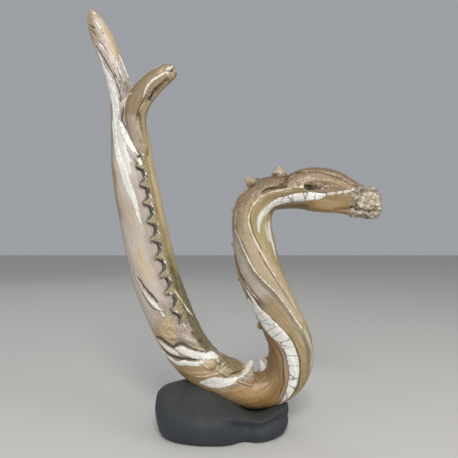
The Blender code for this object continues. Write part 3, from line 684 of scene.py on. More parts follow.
def inside_stroke(rows, points, spine=POSE):
    """How far each point lies inside a stroke, in mm; negative outside it."""
    count = 40 * len(rows)
    fine = through(rows, np.linspace(0, 1, count))
    line = surface(spine, fine[:, 0], fine[:, 1])
    low, high = line.min(axis=0) - STROKE_REACH, line.max(axis=0) + STROKE_REACH
    inside = np.full(len(points), OUTSIDE)
    some = np.flatnonzero(((points > low) & (points < high)).all(axis=1))
    for first in range(0, len(some), POINTS_AT_ONCE):
        part = some[first: first + POINTS_AT_ONCE]
        gap = np.sqrt(((points[part][:, None] - line[None]) ** 2).sum(axis=2)) / MM
        inside[part] = (fine[:, 2] - gap).max(axis=1)
    return np.maximum(inside, OUTSIDE)


def inside_strokes(strokes, points):
    """The same for many strokes, each on both sides of the body."""
    most = np.full(len(points), OUTSIDE)
    for rows in strokes:
        for stroke in (rows, other_side(rows)):
            most = np.maximum(most, inside_stroke(stroke, points))
    return most


def between(low, high, soft, x):
    """1 from low to high and 0 outside, with soft ends."""
    return smooth(low - soft, low + soft, x) * (1 - smooth(high - soft, high + soft, x))


def tinted(colour, clay, share):
    return colour + (clay - colour) * share[:, None]


def patched(colour, patches, at, turn):
    """Lays soft-edged areas (clay, start, end, low, high, strength, softness) over a colour."""
    for clay, start, end, low, high, strength, soft in patches:
        mask = between(start, end, soft, at) * between(low, high, TURN_SOFTNESS * soft, turn)
        colour = tinted(colour, linear(clay), mask * strength)
    return colour


def folded(angle):
    """The far side takes the clays of the near one, mirrored."""
    return np.where(np.abs(angle) <= 90, angle, np.sign(angle) * 180 - angle)


def clay_patches(at, angle, wander):
    """The broad areas of clay along the body, with patches of painted shade by the fin, on the back and
    inside the lowest bend, as light values.
    """
    clays = bpy.context.scene.clay_colours
    at = at + wander[:, 0] * 0.4
    turn = folded(angle) + wander[:, 1] * 8
    colour = patched(np.zeros((len(at), 3)), (
        (clays.lavender, -5, 50, -300, 300, 1.0, 1.0),
        (clays.olive, -5, 1.5, -300, 300, 0.6, 0.6),
        (clays.tan, 1.2, 4.2, -300, -8, 0.75, 0.5),
        (clays.ochre, 2.5, 7.5, 22, 300, 0.85, 1.0),
        (clays.orange, 4.0, 4.9, -48, -22, 0.5, 0.5),
        (clays.olive, 10.2, 13.5, 45, 300, 0.6, 0.8),
        (clays.tan, 12.5, 28, -300, -50, 0.95, 0.8),
        (clays.orange, 14, 24, -300, -60, 0.45, 1.0),
        (clays.brown, 14, 44, -300, -74, 0.3, 1.5),
        (clays.tan, 27, 47, -300, -74, 0.8, 1.0),
        (clays.pink, 25, 30, -40, -10, 0.6, 1.2),
        (clays.ochre, 31.2, 35.6, -28, -4, 0.6, 1.0),
        # Lavender greyed next to the fin: painted shade of the overhanging fin.
        (clays.grey, 14, 40, 4, 42, 0.6, 1.2),
        (clays.brown, -5, 9, -300, 300, 0.14, 1.0),
        (clays.olive, 13, 48, 37, 300, 1.0, 0.8),
        (clays.ochre, 13, 33, 54, 90, 0.7, 1.5),
        # Brown right of the fin: painted shade beside the fin's root.
        (clays.brown, 30, 36, 50, 70, 0.35, 1.5),
        # Moss low on the back: dark olive clay with painted shade on the side turned away from the light.
        (clays.moss_and_shade, 33.5, 50, 38, 62, 0.95, 0.8),
        (clays.moss_and_shade, 36.0, 50, 62, 300, 0.8, 1.2),
        (clays.grey, 39.2, 44.3, -24, 42, 0.9, 0.8),
        (clays.tan, 41.2, 45.2, -70, 6, 0.85, 1.0),
        (clays.ochre, 41.0, 44.2, -32, 4, 0.55, 0.6),
        (clays.tan, 45.5, 53.5, -300, 36, 0.95, 0.8),
        (clays.orange, 46.6, 52, -70, 16, 0.45, 0.8),
        (clays.cream, 48.0, 49.5, 4, 34, 0.6, 0.5),
        (clays.olive, 49.4, 53.4, 22, 110, 0.6, 0.5),
        (clays.orange, 53.2, 60.5, -300, 300, 0.95, 0.7),
        (clays.ochre, 53.0, 56.5, -90, 24, 0.18, 0.8),
        # Brown inside the bend: painted shade on the faces turned in towards the loop.
        (clays.brown, 54.3, 60, 34, 84, 0.75, 0.8),
    ), at, turn)
    across = turn - read_off(LOOP_GUIDE, at)
    colour = patched(colour, (
        (clays.orange, 58, 69, -4, 300, 0.95, 1.0),
        # Brown on the inner side of the bend: painted shade inside the loop.
        (clays.brown, 60, 66, 26, 300, 0.3, 1.2),
        (clays.grey, 58.5, 68, 10, 26, 0.65, 0.8),
        # Brown on the inner side of the bend: painted shade inside the loop.
        (clays.brown, 58, 69, 40, 300, 0.65, 1.2),
        (clays.tan, 61, 71, -300, 0, 0.95, 1.0),
        (clays.olive, 58, 68, -300, -22, 0.9, 1.2),
        (clays.brown, 60, 68, -52, -10, 0.22, 1.2),
    ), at, across)
    across = turn - read_off(NECK_GUIDE, at)
    colour = patched(colour, (
        (clays.tan, 67.5, 84, 4, 50, 0.7, 1.0),
        (clays.tan, 72, 84, 50, 300, 0.7, 1.0),
        (clays.olive, 61, 84.5, -300, -2, 0.95, 0.8),
        (clays.ochre, 69, 80, -62, -40, 0.35, 1.0),
        (clays.pink, 67.0, 84.5, -44, -2, 0.9, 0.6),
        (clays.lavender, 72.0, 84, 6, 46, 0.85, 1.2),
        (clays.grey, 73.0, 86, 6, 30, 0.5, 1.2),
        (clays.tan, 74.5, 84, 40, 300, 0.75, 1.0),
    ), at, across)
    return patched(colour, (
        (clays.tan, 83.2, 101, -300, 300, 0.95, 0.8),
        (clays.olive, 83.5, 91, -24, 4, 0.75, 0.6),
        (clays.brown, 80.0, 89, 26, 300, 0.5, 1.0),
        (clays.grey, 84.0, 87.4, 24, 60, 0.35, 0.6),
        (clays.brown, 83.0, 92, -300, -48, 0.92, 0.8),
        (clays.orange, 90.6, 96.4, -100, -18, 0.9, 0.8),
        (clays.ochre, 91.8, 95.6, -62, -24, 0.4, 0.8),
        (clays.pink, 88.6, 95.8, 14, 54, 0.8, 0.6),
        (clays.brown, 83.6, 97.5, -20, 300, 0.42, 0.8),
        (clays.brown, 84.6, 97.5, 46, 300, 0.50, 0.8),
        (clays.brown, 96.4, 101, -300, 300, 0.36, 0.5),
        (clays.brown, 92.2, 96.0, 2, 20, 0.45, 0.5),
        (clays.grey, 96.7, 101, -300, 300, 0.55, 0.5),
        (clays.cream, 97.3, 101, -10, 40, 0.35, 0.5),
        (clays.olive, 97.3, 101, -60, -20, 0.45, 0.5),
    ), at, turn)


def fluke_patches(at, angle, wander):
    """The broad areas of clay on the curled fluke."""
    clays = bpy.context.scene.clay_colours
    base = np.repeat(linear(clays.tan)[None] * 0.74, len(at), axis=0)
    return patched(base, (
        (clays.lavender, -5, 44, -30, 300, 0.40, 2.0),
        (clays.pink, 60, 105, -40, -8, 0.3, 0.8),
        (clays.olive, 15, 62, -80, -18, 0.7, 1.0),
        (clays.pink, 86, 105, -60, 40, 0.4, 1.0),
        (clays.brown, 20, 105, 40, 180, 0.4, 2.0),
    ), at, angle + wander[:, 1] * 8)


# Where the clay is speckled and rough: start, end, low and high angle, strength.
SPECKLED = (
    (39.6, 45.0, -24, 52, 0.6), (20, 41, 26, 50, 0.7), (96.6, 101, -300, 300, 0.95),
    (88.0, 96.5, 8, 60, 0.45), (82, 88.4, 20, 300, 0.5), (46, 57, 30, 300, 0.5), (75, 86, 46, 300, 0.45),
    (36, 50, 50, 300, 0.4), (74, 85, 0, 46, 0.35), (60, 84, -46, -20, 0.35), (50, 57, -300, 300, 0.3),
    (43, 45.5, -40, 0, 0.4), (90.3, 93.2, -4, 8, 0.5), (8.5, 13.5, 0, 60, 0.5),
)


def wandering(points, scale, seed):
    """Two smooth random values at each point, from -1 to 1."""
    first, second = Vector((seed, 0, 0)), Vector((0, seed + 7.3, 0))
    values = np.empty((len(points), 2))
    for i, point in enumerate(points):
        spot = Vector(point) * scale
        values[i] = noise.noise(spot + first), noise.noise(spot + second)
    return values


def put_attribute(mesh, name, kind, values):
    field = {"FLOAT": "value", "FLOAT_COLOR": "color", "FLOAT_VECTOR": "vector"}[kind]
    if name in mesh.attributes:
        mesh.attributes.remove(mesh.attributes[name])
    mesh.attributes.new(name, kind, "POINT").data.foreach_set(field, np.asarray(values, np.float32).ravel())


def move_points(mesh, points):
    mesh.vertices.foreach_set("co", points.reshape(-1).astype(np.float32))
    mesh.update()


def points_of(mesh):
    co = np.empty(len(mesh.vertices) * 3, np.float32)
    mesh.vertices.foreach_get("co", co)
    return co.reshape(-1, 3).astype(float)


def normals_of(mesh):
    directions = np.empty(len(mesh.vertices) * 3, np.float32)
    mesh.vertex_normals.foreach_get("vector", directions)
    return directions.reshape(-1, 3).astype(float)


def fin_shade_band(at, angle, radius):
    """In mm, how far each point lies inside the band of painted shade under the fin's edge, drawn in the
    charcoal clay, and how far behind the edge.
    """
    edge_at, edge_angle, _ = fin_profile()
    behind = np.radians(angle - np.interp(at, edge_at, edge_angle)) * radius
    share = (np.interp(at, edge_at, edge_angle) - FIN_VALLEY) / (FIN_TIP - FIN_VALLEY)
    on_fin = (at > edge_at[0]) & (at < edge_at[-1])
    inside = np.minimum(behind + 0.3, 0.7 + 1.6 * (1 - share) - behind)
    return np.where(on_fin, inside, OUTSIDE), np.where(on_fin, behind, 11 * OUTSIDE)


def lay_clays(figure):
    """Works out where every clay lies, moves the surface by it and stores it for the material."""
    mesh = figure.data
    sizes = bpy.context.scene.dragon_sizes
    clays = bpy.context.scene.clay_colours
    points = points_of(mesh)
    at, angle, out, x, y = places_on(POSE, points)
    f_at, f_angle, f_out, f_x, f_y = places_on(FLUKE, points, 600)
    on_fluke = (np.abs(f_out - 1) < np.abs(out - 1)) & (f_at > 3) & (f_out < 1.6)
    skin = surface(POSE, at, angle)
    f_skin = surface(FLUKE, f_at, f_angle)
    length, f_length = length_of(POSE) / MM, length_of(FLUKE) / MM
    spin = np.radians(angle - read_off(TWIST, at))
    radius = np.hypot(x, y) / MM
    flow = np.stack([at / 100 * length, radius * np.cos(spin), radius * np.sin(spin)], axis=1)
    f_radius = np.hypot(f_x, f_y) / MM
    f_spin = np.radians(f_angle)
    f_flow = np.stack([f_at / 100 * f_length, f_radius * np.cos(f_spin), f_radius * np.sin(f_spin)], axis=1)
    flow = np.where(on_fluke[:, None], f_flow + 400, flow)
    wander = wandering(flow * (0.35, 1, 1), 0.12, 3.0)
    colour = clay_patches(at, angle, wander)
    colour = np.where(on_fluke[:, None], fluke_patches(f_at, f_angle, wander), colour)
    # The fin's edge gets a band of painted shade, in the charcoal clay, where the sheet overhangs the
    # front.
    fin_edge_shade, behind = fin_shade_band(at, angle, radius / np.maximum(out, 0.2))
    edge_gap = np.abs(behind)
    fin_share = smooth(-0.1, 0.4, behind) * (1 - smooth(5, 9, behind)) * ~on_fluke
    colour = tinted(colour, linear(clays.olive) * 0.85, fin_share * 0.8)
    chips = tuple(((s - 0.25, turn - 1, half * 0.6), (s + 0.25, turn + 1, half)) for s, turn, half in CHIPS)
    fields = {}
    for name, strokes, f_strokes in (
        ("white_in", WHITE_STROKES + chips, ()),
        ("pale_in", PALE_STROKES, ()),
        ("line_in", CREAM_LINES, FLUKE_CREAM),
        ("dark_in", CHARCOAL_STROKES, FLUKE_DARK),
        ("grey_and_shade_in", GREY_AND_SHADE_STROKES, ()),
        ("brown_in", BROWN_STROKES, ()),
    ):
        field = inside_strokes(strokes, skin)
        field[on_fluke] = OUTSIDE
        for rows in f_strokes:
            field = np.maximum(field, np.where(on_fluke, inside_stroke(rows, f_skin, FLUKE), OUTSIDE))
        fields[name] = field
    white, pale, dark = fields["white_in"], fields["pale_in"], np.maximum(fields["dark_in"], fin_edge_shade)
    fields["dark_in"] = dark
    # Soft grey strokes: grey clay, and painted shade beside the neck's cream line and under the big thorn.
    colour = tinted(colour, linear(clays.grey) * 0.55, smooth(-0.5, 0.7, fields["grey_and_shade_in"]) * 0.85)
    proud = (out - 1) * radius / np.maximum(out, 1)
    thorns = smooth(1.0, 3.5, proud) * (at > 53.6) * (np.abs(folded(angle)) > 50)
    colour = tinted(colour, linear(clays.cream) * 0.8, thorns * 0.55)
    colour = tinted(colour, linear(clays.white) * 0.8, smooth(-0.3, 0.4, pale) * 0.9)
    speckle = np.zeros(len(at))
    turn = folded(angle)
    for start, end, low, high, strength in SPECKLED:
        speckle = np.maximum(speckle, between(start, end, 0.8, at) * between(low, high, 6, turn) * strength)
    speckle[on_fluke] = (smooth(86, 94, f_at) * 0.8)[on_fluke]
    move = sizes.tooling * (
        0.35 * smooth(-0.5, 0.3, fields["line_in"])
        + 0.9 * smooth(-0.2, 0.8, white)
        - 0.7 * bump(white + 0.5, 0.5)
        + 0.6 * smooth(-0.2, 0.8, pale)
        - 1.2 * smooth(-0.3, 1.0, dark) * (fin_edge_shade < -5)
        - 1.0 * smooth(-0.4, 0.7, fields["brown_in"])
    )
    uneven = wandering(points, 55.0, 11.0)[:, 0] + 0.5 * wandering(points, 130.0, 23.0)[:, 0]
    quiet = smooth(0.5, 5.0, edge_gap)
    move += sizes.unevenness * uneven * quiet
    lumps = wandering(points, 300.0, 41.0)[:, 0] + 0.6 * wandering(points, 650.0, 47.0)[:, 0]
    snout = smooth(96, 97.5, at) * ~on_fluke
    lumps = (lumps - 0.5 * snout) * (1 + 0.8 * snout)
    move += sizes.roughness * lumps * speckle * smooth(0.2, 1.5, edge_gap)
    ridges = wandering(flow * (0.05, 1, 1), 0.45, 31.0)[:, 0]
    move += 0.4 * sizes.tooling * ridges * quiet
    points += normals_of(mesh) * move[:, None]
    move_points(mesh, points)
    put_attribute(mesh, "clay", "FLOAT_COLOR", np.c_[colour, np.ones(len(colour))])
    put_attribute(mesh, "flow", "FLOAT_VECTOR", flow)
    put_attribute(mesh, "speckle", "FLOAT", speckle)
    cracked = np.maximum(bump(at - 63.5, 6.0), bump(at - 90.0, 3.0))
    put_attribute(mesh, "cracked", "FLOAT", 0.2 + 0.8 * cracked)
    put_attribute(mesh, "snout", "FLOAT", snout)
    for name in ("white_in", "line_in", "dark_in", "brown_in"):
        put_attribute(mesh, name, "FLOAT", fields[name])


def shape_figure():
    """The whole figure as one closed skin: body, curled fluke, fin, torn folds and thorns."""
    figure = swept("dragon_clay", POSE, body_stations(), SIDES_OF_BODY, body_relief)
    fluke = swept("curled_fluke", FLUKE, np.linspace(0, 1, RINGS_ON_FLUKE), SIDES_OF_FLUKE, fluke_relief)
    unite(figure, fluke)
    unite(figure, saw_fin())
    for row in FOLDS:
        unite(figure, fold(*row))
    for row in THORNS:
        unite(figure, thorn(*row))
    return figure


class Nodes:
    """Short hand for wiring a material's nodes."""

    def __init__(self, name):
        self.material = bpy.data.materials.new(name)
        self.material.use_nodes = True
        self.tree = self.material.node_tree
        self.shader = self.tree.nodes["Principled BSDF"]
        self.count = 0

    def wire(self, value, socket):
        if isinstance(value, bpy.types.NodeSocket):
            self.tree.links.new(value, socket)
        else:
            socket.default_value = value

    def add(self, kind, **settings):
        node = self.tree.nodes.new(kind)
        node.location = (-1800 + 190 * (self.count % 9), 600 - 220 * (self.count // 9))
        self.count += 1
        for key, value in settings.items():
            setattr(node, key, value)
        return node

    def attribute(self, name, output="Fac"):
        return self.add("ShaderNodeAttribute", attribute_name=name).outputs[output]

    def maths(self, operation, first, second=0.0, clamp=False):
        node = self.add("ShaderNodeMath", operation=operation, use_clamp=clamp)
        self.wire(first, node.inputs[0])
        self.wire(second, node.inputs[1])
        return node.outputs[0]

    def stretched(self, vector, scale):
        node = self.add("ShaderNodeVectorMath", operation="MULTIPLY")
        self.wire(vector, node.inputs[0])
        self.wire(scale, node.inputs[1])
        return node.outputs[0]

    def noise(self, vector, scale, detail=4.0, roughness=0.55):
        node = self.add("ShaderNodeTexNoise")
        self.wire(vector, node.inputs["Vector"])
        node.inputs["Scale"].default_value = scale
        node.inputs["Detail"].default_value = detail
        node.inputs["Roughness"].default_value = roughness
        return node.outputs["Fac"]

    def cracks(self, vector, scale, width):
        node = self.add("ShaderNodeTexVoronoi", feature="DISTANCE_TO_EDGE")
        self.wire(vector, node.inputs["Vector"])
        node.inputs["Scale"].default_value = scale
        return self.ramp(node.outputs["Distance"], width, 0.0)

    def ramp(self, value, low, high, to_low=0.0, to_high=1.0):
        node = self.add("ShaderNodeMapRange", interpolation_type="SMOOTHSTEP")
        self.wire(value, node.inputs["Value"])
        node.inputs["From Min"].default_value = low
        node.inputs["From Max"].default_value = high
        node.inputs["To Min"].default_value = to_low
        node.inputs["To Max"].default_value = to_high
        return node.outputs["Result"]

    def mix(self, share, first, second, blend="MIX"):
        node = self.add("ShaderNodeMix", data_type="RGBA", blend_type=blend)
        self.wire(share, node.inputs["Factor"])
        self.wire(first, node.inputs[6])
        self.wire(second, node.inputs[7])
        return node.outputs[2]

    def bump(self, height, strength, distance):
        node = self.add("ShaderNodeBump")
        self.wire(height, node.inputs["Height"])
        node.inputs["Strength"].default_value = strength
        node.inputs["Distance"].default_value = distance
        self.wire(node.outputs["Normal"], self.shader.inputs["Normal"])


def rgba(colour, share=1.0):
    return (*(float(v) * share for v in linear(colour)), 1.0)


def marbled_clay():
    """Layered clays under a thin clear glaze: streaks, crackled white, dark seams and grain."""
    clays = bpy.context.scene.clay_colours
    n = Nodes("marbled_clay")
    flow = n.attribute("flow", "Vector")
    speckle, snout, cracked = (n.attribute(name) for name in ("speckle", "snout", "cracked"))
    patchy = n.noise(flow, 0.09, 2.0)
    wobble = n.noise(flow, 0.30, 3.0)
    ragged = n.noise(flow, 1.1, 3.0, 0.6)
    broad = n.noise(n.stretched(flow, (0.05, 0.45, 0.45)), 0.6, 4.0, 0.6)
    fine = n.noise(n.stretched(flow, (0.06, 1.5, 1.5)), 1.0, 4.0, 0.6)
    grain = n.noise(flow, 1.7, 3.0, 0.75)
    coarse = n.noise(flow, 0.80, 3.0, 0.75)
    mottled = n.noise(flow, 0.34, 4.0, 0.7)
    dark_specks = n.ramp(speckle, 0.0, 1.0, 0.06, 0.78)
    pale_specks = n.ramp(speckle, 0.0, 1.0, 0.0, 0.7)
    colour = n.attribute("clay", "Color")
    # The noise, where a clay starts and is strongest in it, how strong, and what that is times.
    for field, none, full, strength, times, clay in (
        (broad, 0.50, 0.36, 0.22, 1.0, rgba(clays.brown)),
        (broad, 0.56, 0.70, 0.18, 1.0, rgba(clays.cream)),
        (fine, 0.47, 0.36, 0.24, 1.0, rgba(clays.brown, 0.8)),
        (fine, 0.58, 0.68, 0.14, 1.0, rgba(clays.cream)),
        (coarse, 0.49, 0.38, 1.0, dark_specks, rgba(clays.charcoal, 1.3)),
        (coarse, 0.54, 0.64, 1.0, pale_specks, rgba(clays.cream)),
        (grain, 0.44, 0.34, 0.35, 1.0, rgba(clays.brown, 0.5)),
        (mottled, 0.46, 0.38, 0.8, snout, rgba(clays.brown, 0.5)),
        (mottled, 0.54, 0.62, 0.7, snout, rgba(clays.white, 0.9)),
    ):
        share = n.maths("MULTIPLY", n.ramp(field, none, full, 0.0, strength), times)
        colour = n.mix(share, colour, clay)
    shift = n.maths("ADD", n.ramp(wobble, 0.3, 0.7, -0.45, 0.45), n.ramp(ragged, 0.3, 0.7, -0.3, 0.3))
    line_in, brown_in, dark_in, white_in = (
        n.maths("ADD", n.attribute(name), n.maths("MULTIPLY", shift, waver))
        for name, waver in (("line_in", 0.4), ("brown_in", 0.3), ("dark_in", 0.7), ("white_in", 0.8))
    )
    colour = n.mix(n.ramp(brown_in, -0.50, 0.30, 0.0, 0.92), colour, rgba(clays.brown, 0.5))
    line_share = n.maths("MULTIPLY", n.ramp(line_in, -0.40, 0.15), n.ramp(coarse, 0.40, 0.52, 0.45, 0.95))
    lines = n.mix(n.ramp(fine, 0.4, 0.6), rgba(clays.cream), rgba(clays.white, 0.9))
    colour = n.mix(line_share, colour, lines)
    # Charcoal clay, and the painted shade along the fin's edge that rides in dark_in.
    colour = n.mix(n.ramp(dark_in, -0.45, 0.35, 0.0, 0.92), colour, rgba(clays.charcoal))
    rim = n.maths("MULTIPLY", n.ramp(white_in, -1.2, -0.5), n.ramp(white_in, 0.1, -0.3))
    rim = n.maths("MULTIPLY", rim, n.ramp(patchy, 0.40, 0.58, 0.05, 0.9))
    colour = n.mix(n.maths("MULTIPLY", rim, cracked), colour, rgba(clays.charcoal, 1.2))
    whites = n.mix(n.ramp(broad, 0.40, 0.60), rgba(clays.white, 0.82), rgba(clays.white))
    across = n.cracks(n.stretched(flow, (0.13, 0.05, 0.05)), 1.0, 0.075)
    across = n.maths("MULTIPLY", across, n.ramp(patchy, 0.40, 0.50, 0.35, 1.0))
    across = n.maths("MULTIPLY", across, cracked)
    crazing = n.maths("MULTIPLY", n.cracks(flow, 0.62, 0.05), n.ramp(ragged, 0.40, 0.55))
    whites = n.mix(n.ramp(fine, 0.45, 0.38, 0.0, 0.45), whites, rgba(clays.grey))
    whites = n.mix(n.maths("MULTIPLY", crazing, 0.30), whites, rgba(clays.grey))
    whites = n.mix(n.maths("MULTIPLY", across, 0.90), whites, rgba(clays.charcoal))
    white_share = n.ramp(white_in, -0.15, 0.15)
    n.wire(n.mix(white_share, colour, whites), n.shader.inputs["Base Color"])
    n.wire(n.ramp(grain, 0.35, 0.65, 0.26, 0.42), n.shader.inputs["Roughness"])
    n.wire(0.55, n.shader.inputs["Specular IOR Level"])
    torn = n.maths("MULTIPLY", n.maths("MAXIMUM", across, crazing), white_share)
    height = n.maths("MULTIPLY", fine, 0.4)
    for part, share in ((grain, 0.35), (white_share, 0.5), (torn, -0.7)):
        height = n.maths("ADD", height, n.maths("MULTIPLY", part, share))
    n.bump(height, 0.6, 0.0005)
    return n.material


# The stone's top along X and its outline, as shares of its own size.
STONE_CREST = (
    (-1.0, 0.86), (-0.72, 0.94), (-0.42, 0.99), (-0.14, 0.90), (0.10, 0.70), (0.32, 0.55), (0.55, 0.53),
    (0.78, 0.60), (1.0, 0.62),
)
STONE_PROFILE = (
    (0.86, 0.0), (0.93, 0.08), (0.965, 0.22), (0.99, 0.42), (1.0, 0.58), (0.995, 0.72), (0.97, 0.84),
    (0.90, 0.925), (0.74, 0.965), (0.48, 0.985), (0.24, 0.995), (0.0, 1.0),
)
# The top falls towards the viewer: by this share left of the saddle, by the second right of it;
# and by the third towards the back of the left lobe.
FRONT_FALL, FRONT_FALL_RIGHT, BACK_FALL = 0.50, 0.08, 0.26
# The hollow in its top: its middle along X, how far it reaches each way and how deep it is.
STONE_HOLLOW = (0.50, 0.30, 0.42, 0.16)
# The crease round the front: its height along X, then its half breadth and depth.
STONE_LEDGE = (
    (-0.10, 0.62), (0.10, 0.42), (0.30, 0.30), (0.55, 0.29), (0.80, 0.38),
)
LEDGE_REACH, LEDGE_DEPTH = 0.085, 0.075
# The plan: how square it is, and where, how widely and how deeply its front is drawn in.
STONE_SQUARENESS = 2.7
STONE_WAIST = (0.34, 0.16, 0.16, 0.13)
POCKET_SIDES = 72
STONE_SIDES, STONE_RINGS = 220, 84


def stone_point(x, y, rise):
    """Arrays of plan shares and rise shares turned into points of the worn stone."""
    sizes = bpy.context.scene.stone_sizes
    along, share = np.array(STONE_CREST).T
    rows = np.c_[along, 0 * along, 0 * along, share]
    top = through(rows, ((x + 1) / 2).ravel())[:, 3].reshape(x.shape)
    turn_right = smooth(-0.3, 0.3, x)
    fall = FRONT_FALL + (FRONT_FALL_RIGHT - FRONT_FALL) * turn_right
    back = BACK_FALL * (1 - turn_right)
    top = top * (1 - fall * np.clip(-y, 0, None) ** 1.3 - back * np.clip(y, 0, None) ** 1.3)
    middle, reach_x, reach_y, depth = STONE_HOLLOW
    dip = depth * np.exp(-(((x - middle) / reach_x) ** 2) - (y / reach_y) ** 2)
    z = rise * top - dip * rise**3
    low = read_off(STONE_LEDGE, x)
    ends = np.clip((x - STONE_LEDGE[0][0]) / 0.25, 0, 1)
    inward = 1 - np.where(y > 0, 0, LEDGE_DEPTH * ends * np.exp(-(((z - low) / LEDGE_REACH) ** 2)))
    return np.stack([x * sizes.width / 2 * inward, y * sizes.depth / 2 * inward, z * sizes.height], axis=-1)


def shape_stone():
    """The stone as a sheet of rings closed under and over, worn by shallow dents, with its pocket."""
    sizes = bpy.context.scene.stone_sizes
    turn = np.linspace(0, 2 * math.pi, STONE_SIDES + 1)
    square = STONE_SQUARENESS
    reach = (np.abs(np.cos(turn)) ** square + np.abs(np.sin(turn)) ** square) ** (-1 / square)
    x, y = reach * np.cos(turn), reach * np.sin(turn)
    spot, breadth, depth, right = STONE_WAIST
    waist = 1 - depth * bump(x - spot, breadth) - right * np.clip(x, 0, None)
    y = np.where(y < 0, y * waist, y)
    profile = np.array(STONE_PROFILE)
    rows = np.c_[profile[:, 0], profile[:, 1], 0 * profile[:, 0]]
    fine = through(rows, np.linspace(0, 1, STONE_RINGS))
    spread, rise = fine[:, 0][:, None], fine[:, 1][:, None]
    skin = stone_point(x[None] * spread, y[None] * spread, rise + 0 * x[None])
    under = skin[:1] * np.array([0.0, 0.5, 0.9])[:, None, None]
    under[..., 2] = 0
    skin = np.concatenate([under, skin])
    skin[:, -1] = skin[:, 0]
    stone = rolled_sheet("worn_stone", skin)
    points = points_of(stone.data)
    dents = wandering(points, 38.0, 5.0)[:, 0] + 0.6 * wandering(points, 90.0, 17.0)[:, 0]
    worn = sizes.wear * smooth(0, 0.004, points[:, 2]) * (dents + 1) / 2
    points -= normals_of(stone.data) * worn[:, None]
    move_points(stone.data, points)
    pocket = swept("pocket", POSE, body_stations()[::2], POCKET_SIDES, body_relief, grow=sizes.seat_gap)
    unite(stone, pocket, "DIFFERENCE")
    put_attribute(stone.data, "upward", "FLOAT", normals_of(stone.data)[:, 2])
    return stone


def dark_stone():
    """Matte dark stone: blue-grey, its upward faces painted lighter and greener and its sides bluer and
    darker as the light falls, with fine grain and pale dust.
    """
    clays = bpy.context.scene.clay_colours
    n = Nodes("dark_stone")
    place = n.add("ShaderNodeTexCoord").outputs["Object"]
    cloud = n.noise(place, 28.0, 4.0)
    speck = n.noise(place, 900.0, 3.0, 0.7)
    # Painted light: upward faces take the lighter, greener top colour, the sides the darker, bluer one.
    faces = n.mix(n.ramp(n.attribute("upward"), 0.35, 0.75), rgba(clays.stone), rgba(clays.lit_stone_top))
    colour = n.mix(n.ramp(cloud, 0.35, 0.65, 0.0, 0.30), faces, rgba(clays.stone, 0.45))
    colour = n.mix(n.ramp(speck, 0.52, 0.72, 0.0, 0.35), colour, rgba(clays.stone, 2.0))
    colour = n.mix(n.ramp(speck, 0.46, 0.34, 0.0, 0.5), colour, rgba(clays.stone, 0.5))
    n.wire(colour, n.shader.inputs["Base Color"])
    n.wire(n.ramp(cloud, 0.3, 0.7, 0.62, 0.78), n.shader.inputs["Roughness"])
    n.bump(n.maths("ADD", speck, n.maths("MULTIPLY", cloud, 0.5)), 0.35, 0.0004)
    return n.material


SHARP_ANGLE = math.radians(50)


def finish(piece, material, node):
    """Smooth shading, the material and the piece's place in the frame."""
    choose(piece)
    bpy.ops.object.shade_smooth_by_angle(angle=SHARP_ANGLE)
    piece.data.materials.clear()
    piece.data.materials.append(material)
    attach(piece, "root")
    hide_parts(node)


class DRAGON_OT_figure(bpy.types.Operator):
    """Models the clay figure and lays its clays"""
    bl_idname = "dragon.figure"
    bl_label = "Clay figure"

    def execute(self, context):
        figure = shape_figure()
        lay_clays(figure)
        finish(figure, marbled_clay(), "dragon")
        return {"FINISHED"}


class DRAGON_OT_stone(bpy.types.Operator):
    """Models the worn stone with the pocket that the figure rests in"""
    bl_idname = "dragon.stone"
    bl_label = "Worn stone"

    def execute(self, context):
        finish(shape_stone(), dark_stone(), "stone_base")
        return {"FINISHED"}


# The lights: name, place, side, power in watts, colour. All aim at the figure's middle.
LIGHTS = (
    ("key", (0.05, -1.15, 1.0), 0.5, 14.5, (1.0, 0.99, 0.97)),
    ("fill", (1.1, -0.6, 0.45), 0.8, 5, (1.0, 0.98, 0.94)),
    ("cool_fill", (-1.1, -0.7, 0.4), 0.8, 2, (0.92, 0.95, 1.0)),
    ("rim", (-0.5, 1.0, 0.9), 0.6, 1.5, (0.92, 0.95, 1.0)),
)
AIM = (0.0, 0.0, 0.17)


def add_light(name, place, size, power, colour):
    deselect()
    bpy.ops.object.light_add(type="AREA", location=place)
    light = bpy.context.object
    light.name = name
    light.rotation_euler = (Vector(AIM) - Vector(place)).to_track_quat("-Z", "Y").to_euler()
    light.data.size = size
    light.data.energy = power
    light.data.color = colour


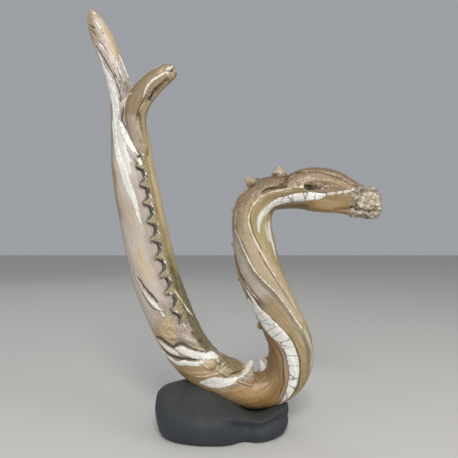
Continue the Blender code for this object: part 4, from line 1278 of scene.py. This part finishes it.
class DRAGON_OT_stage(bpy.types.Operator):
    """Adds the pale floor, the soft lights and the camera"""
    bl_idname = "dragon.stage"
    bl_label = "Stage"

    def execute(self, context):
        sizes = context.scene.stage_sizes
        deselect()
        bpy.ops.mesh.primitive_plane_add(size=sizes.floor, location=(0, 0, -0.0002))
        floor = context.object
        floor.name = "pale_floor"
        n = Nodes("pale_floor")
        n.wire(rgba(sizes.floor_colour), n.shader.inputs["Base Color"])
        n.wire(0.8, n.shader.inputs["Roughness"])
        floor.data.materials.append(n.material)
        world = bpy.data.worlds.new("pale_room")
        world.use_nodes = True
        sky = world.node_tree.nodes["Background"].inputs
        sky["Color"].default_value = (0.80, 0.83, 0.88, 1)
        sky["Strength"].default_value = 0.42
        context.scene.world = world
        for row in LIGHTS:
            add_light(*row)
        deselect()
        bpy.ops.object.camera_add(
            location=(sizes.aside, -sizes.distance, sizes.eye_level), rotation=(math.pi / 2, 0, 0))
        camera = context.object
        camera.data.lens = sizes.lens
        camera.data.sensor_width = 36
        camera.data.clip_start = 0.01
        context.scene.camera = camera
        context.scene.view_settings.view_transform = "Standard"
        return {"FINISHED"}


class DRAGON_PT_panel(bpy.types.Panel):
    """Lists the pieces and their sizes"""
    bl_idname = "DRAGON_PT_panel"
    bl_label = "Clay dragon"
    bl_space_type = "VIEW_3D"
    bl_region_type = "UI"
    bl_category = "Dragon"

    def draw(self, context):
        for operator in OPERATORS:
            self.layout.operator(operator.bl_idname)
        for group in SETTINGS:
            box = self.layout.box()
            values = getattr(context.scene, group)
            for name in values.__annotations__:
                box.prop(values, name)


SETTINGS = {
    "dragon_sizes": FigureSizes,
    "stone_sizes": StoneSizes,
    "clay_colours": ClayColours,
    "stage_sizes": StageSizes,
}
OPERATORS = (DRAGON_OT_figure, DRAGON_OT_stone, DRAGON_OT_stage)


def register():
    for group in SETTINGS.values():
        bpy.utils.register_class(group)
    for name, group in SETTINGS.items():
        setattr(bpy.types.Scene, name, bpy.props.PointerProperty(type=group))
    for kind in (*OPERATORS, DRAGON_PT_panel):
        bpy.utils.register_class(kind)


def unregister():
    for kind in (DRAGON_PT_panel, *reversed(OPERATORS)):
        bpy.utils.unregister_class(kind)
    for name in SETTINGS:
        delattr(bpy.types.Scene, name)
    for group in reversed(SETTINGS.values()):
        bpy.utils.unregister_class(group)


def main():
    register()
    bpy.ops.dragon.stage()
    bpy.ops.dragon.stone()
    bpy.ops.dragon.figure()


if __name__ == "__main__":
    main()
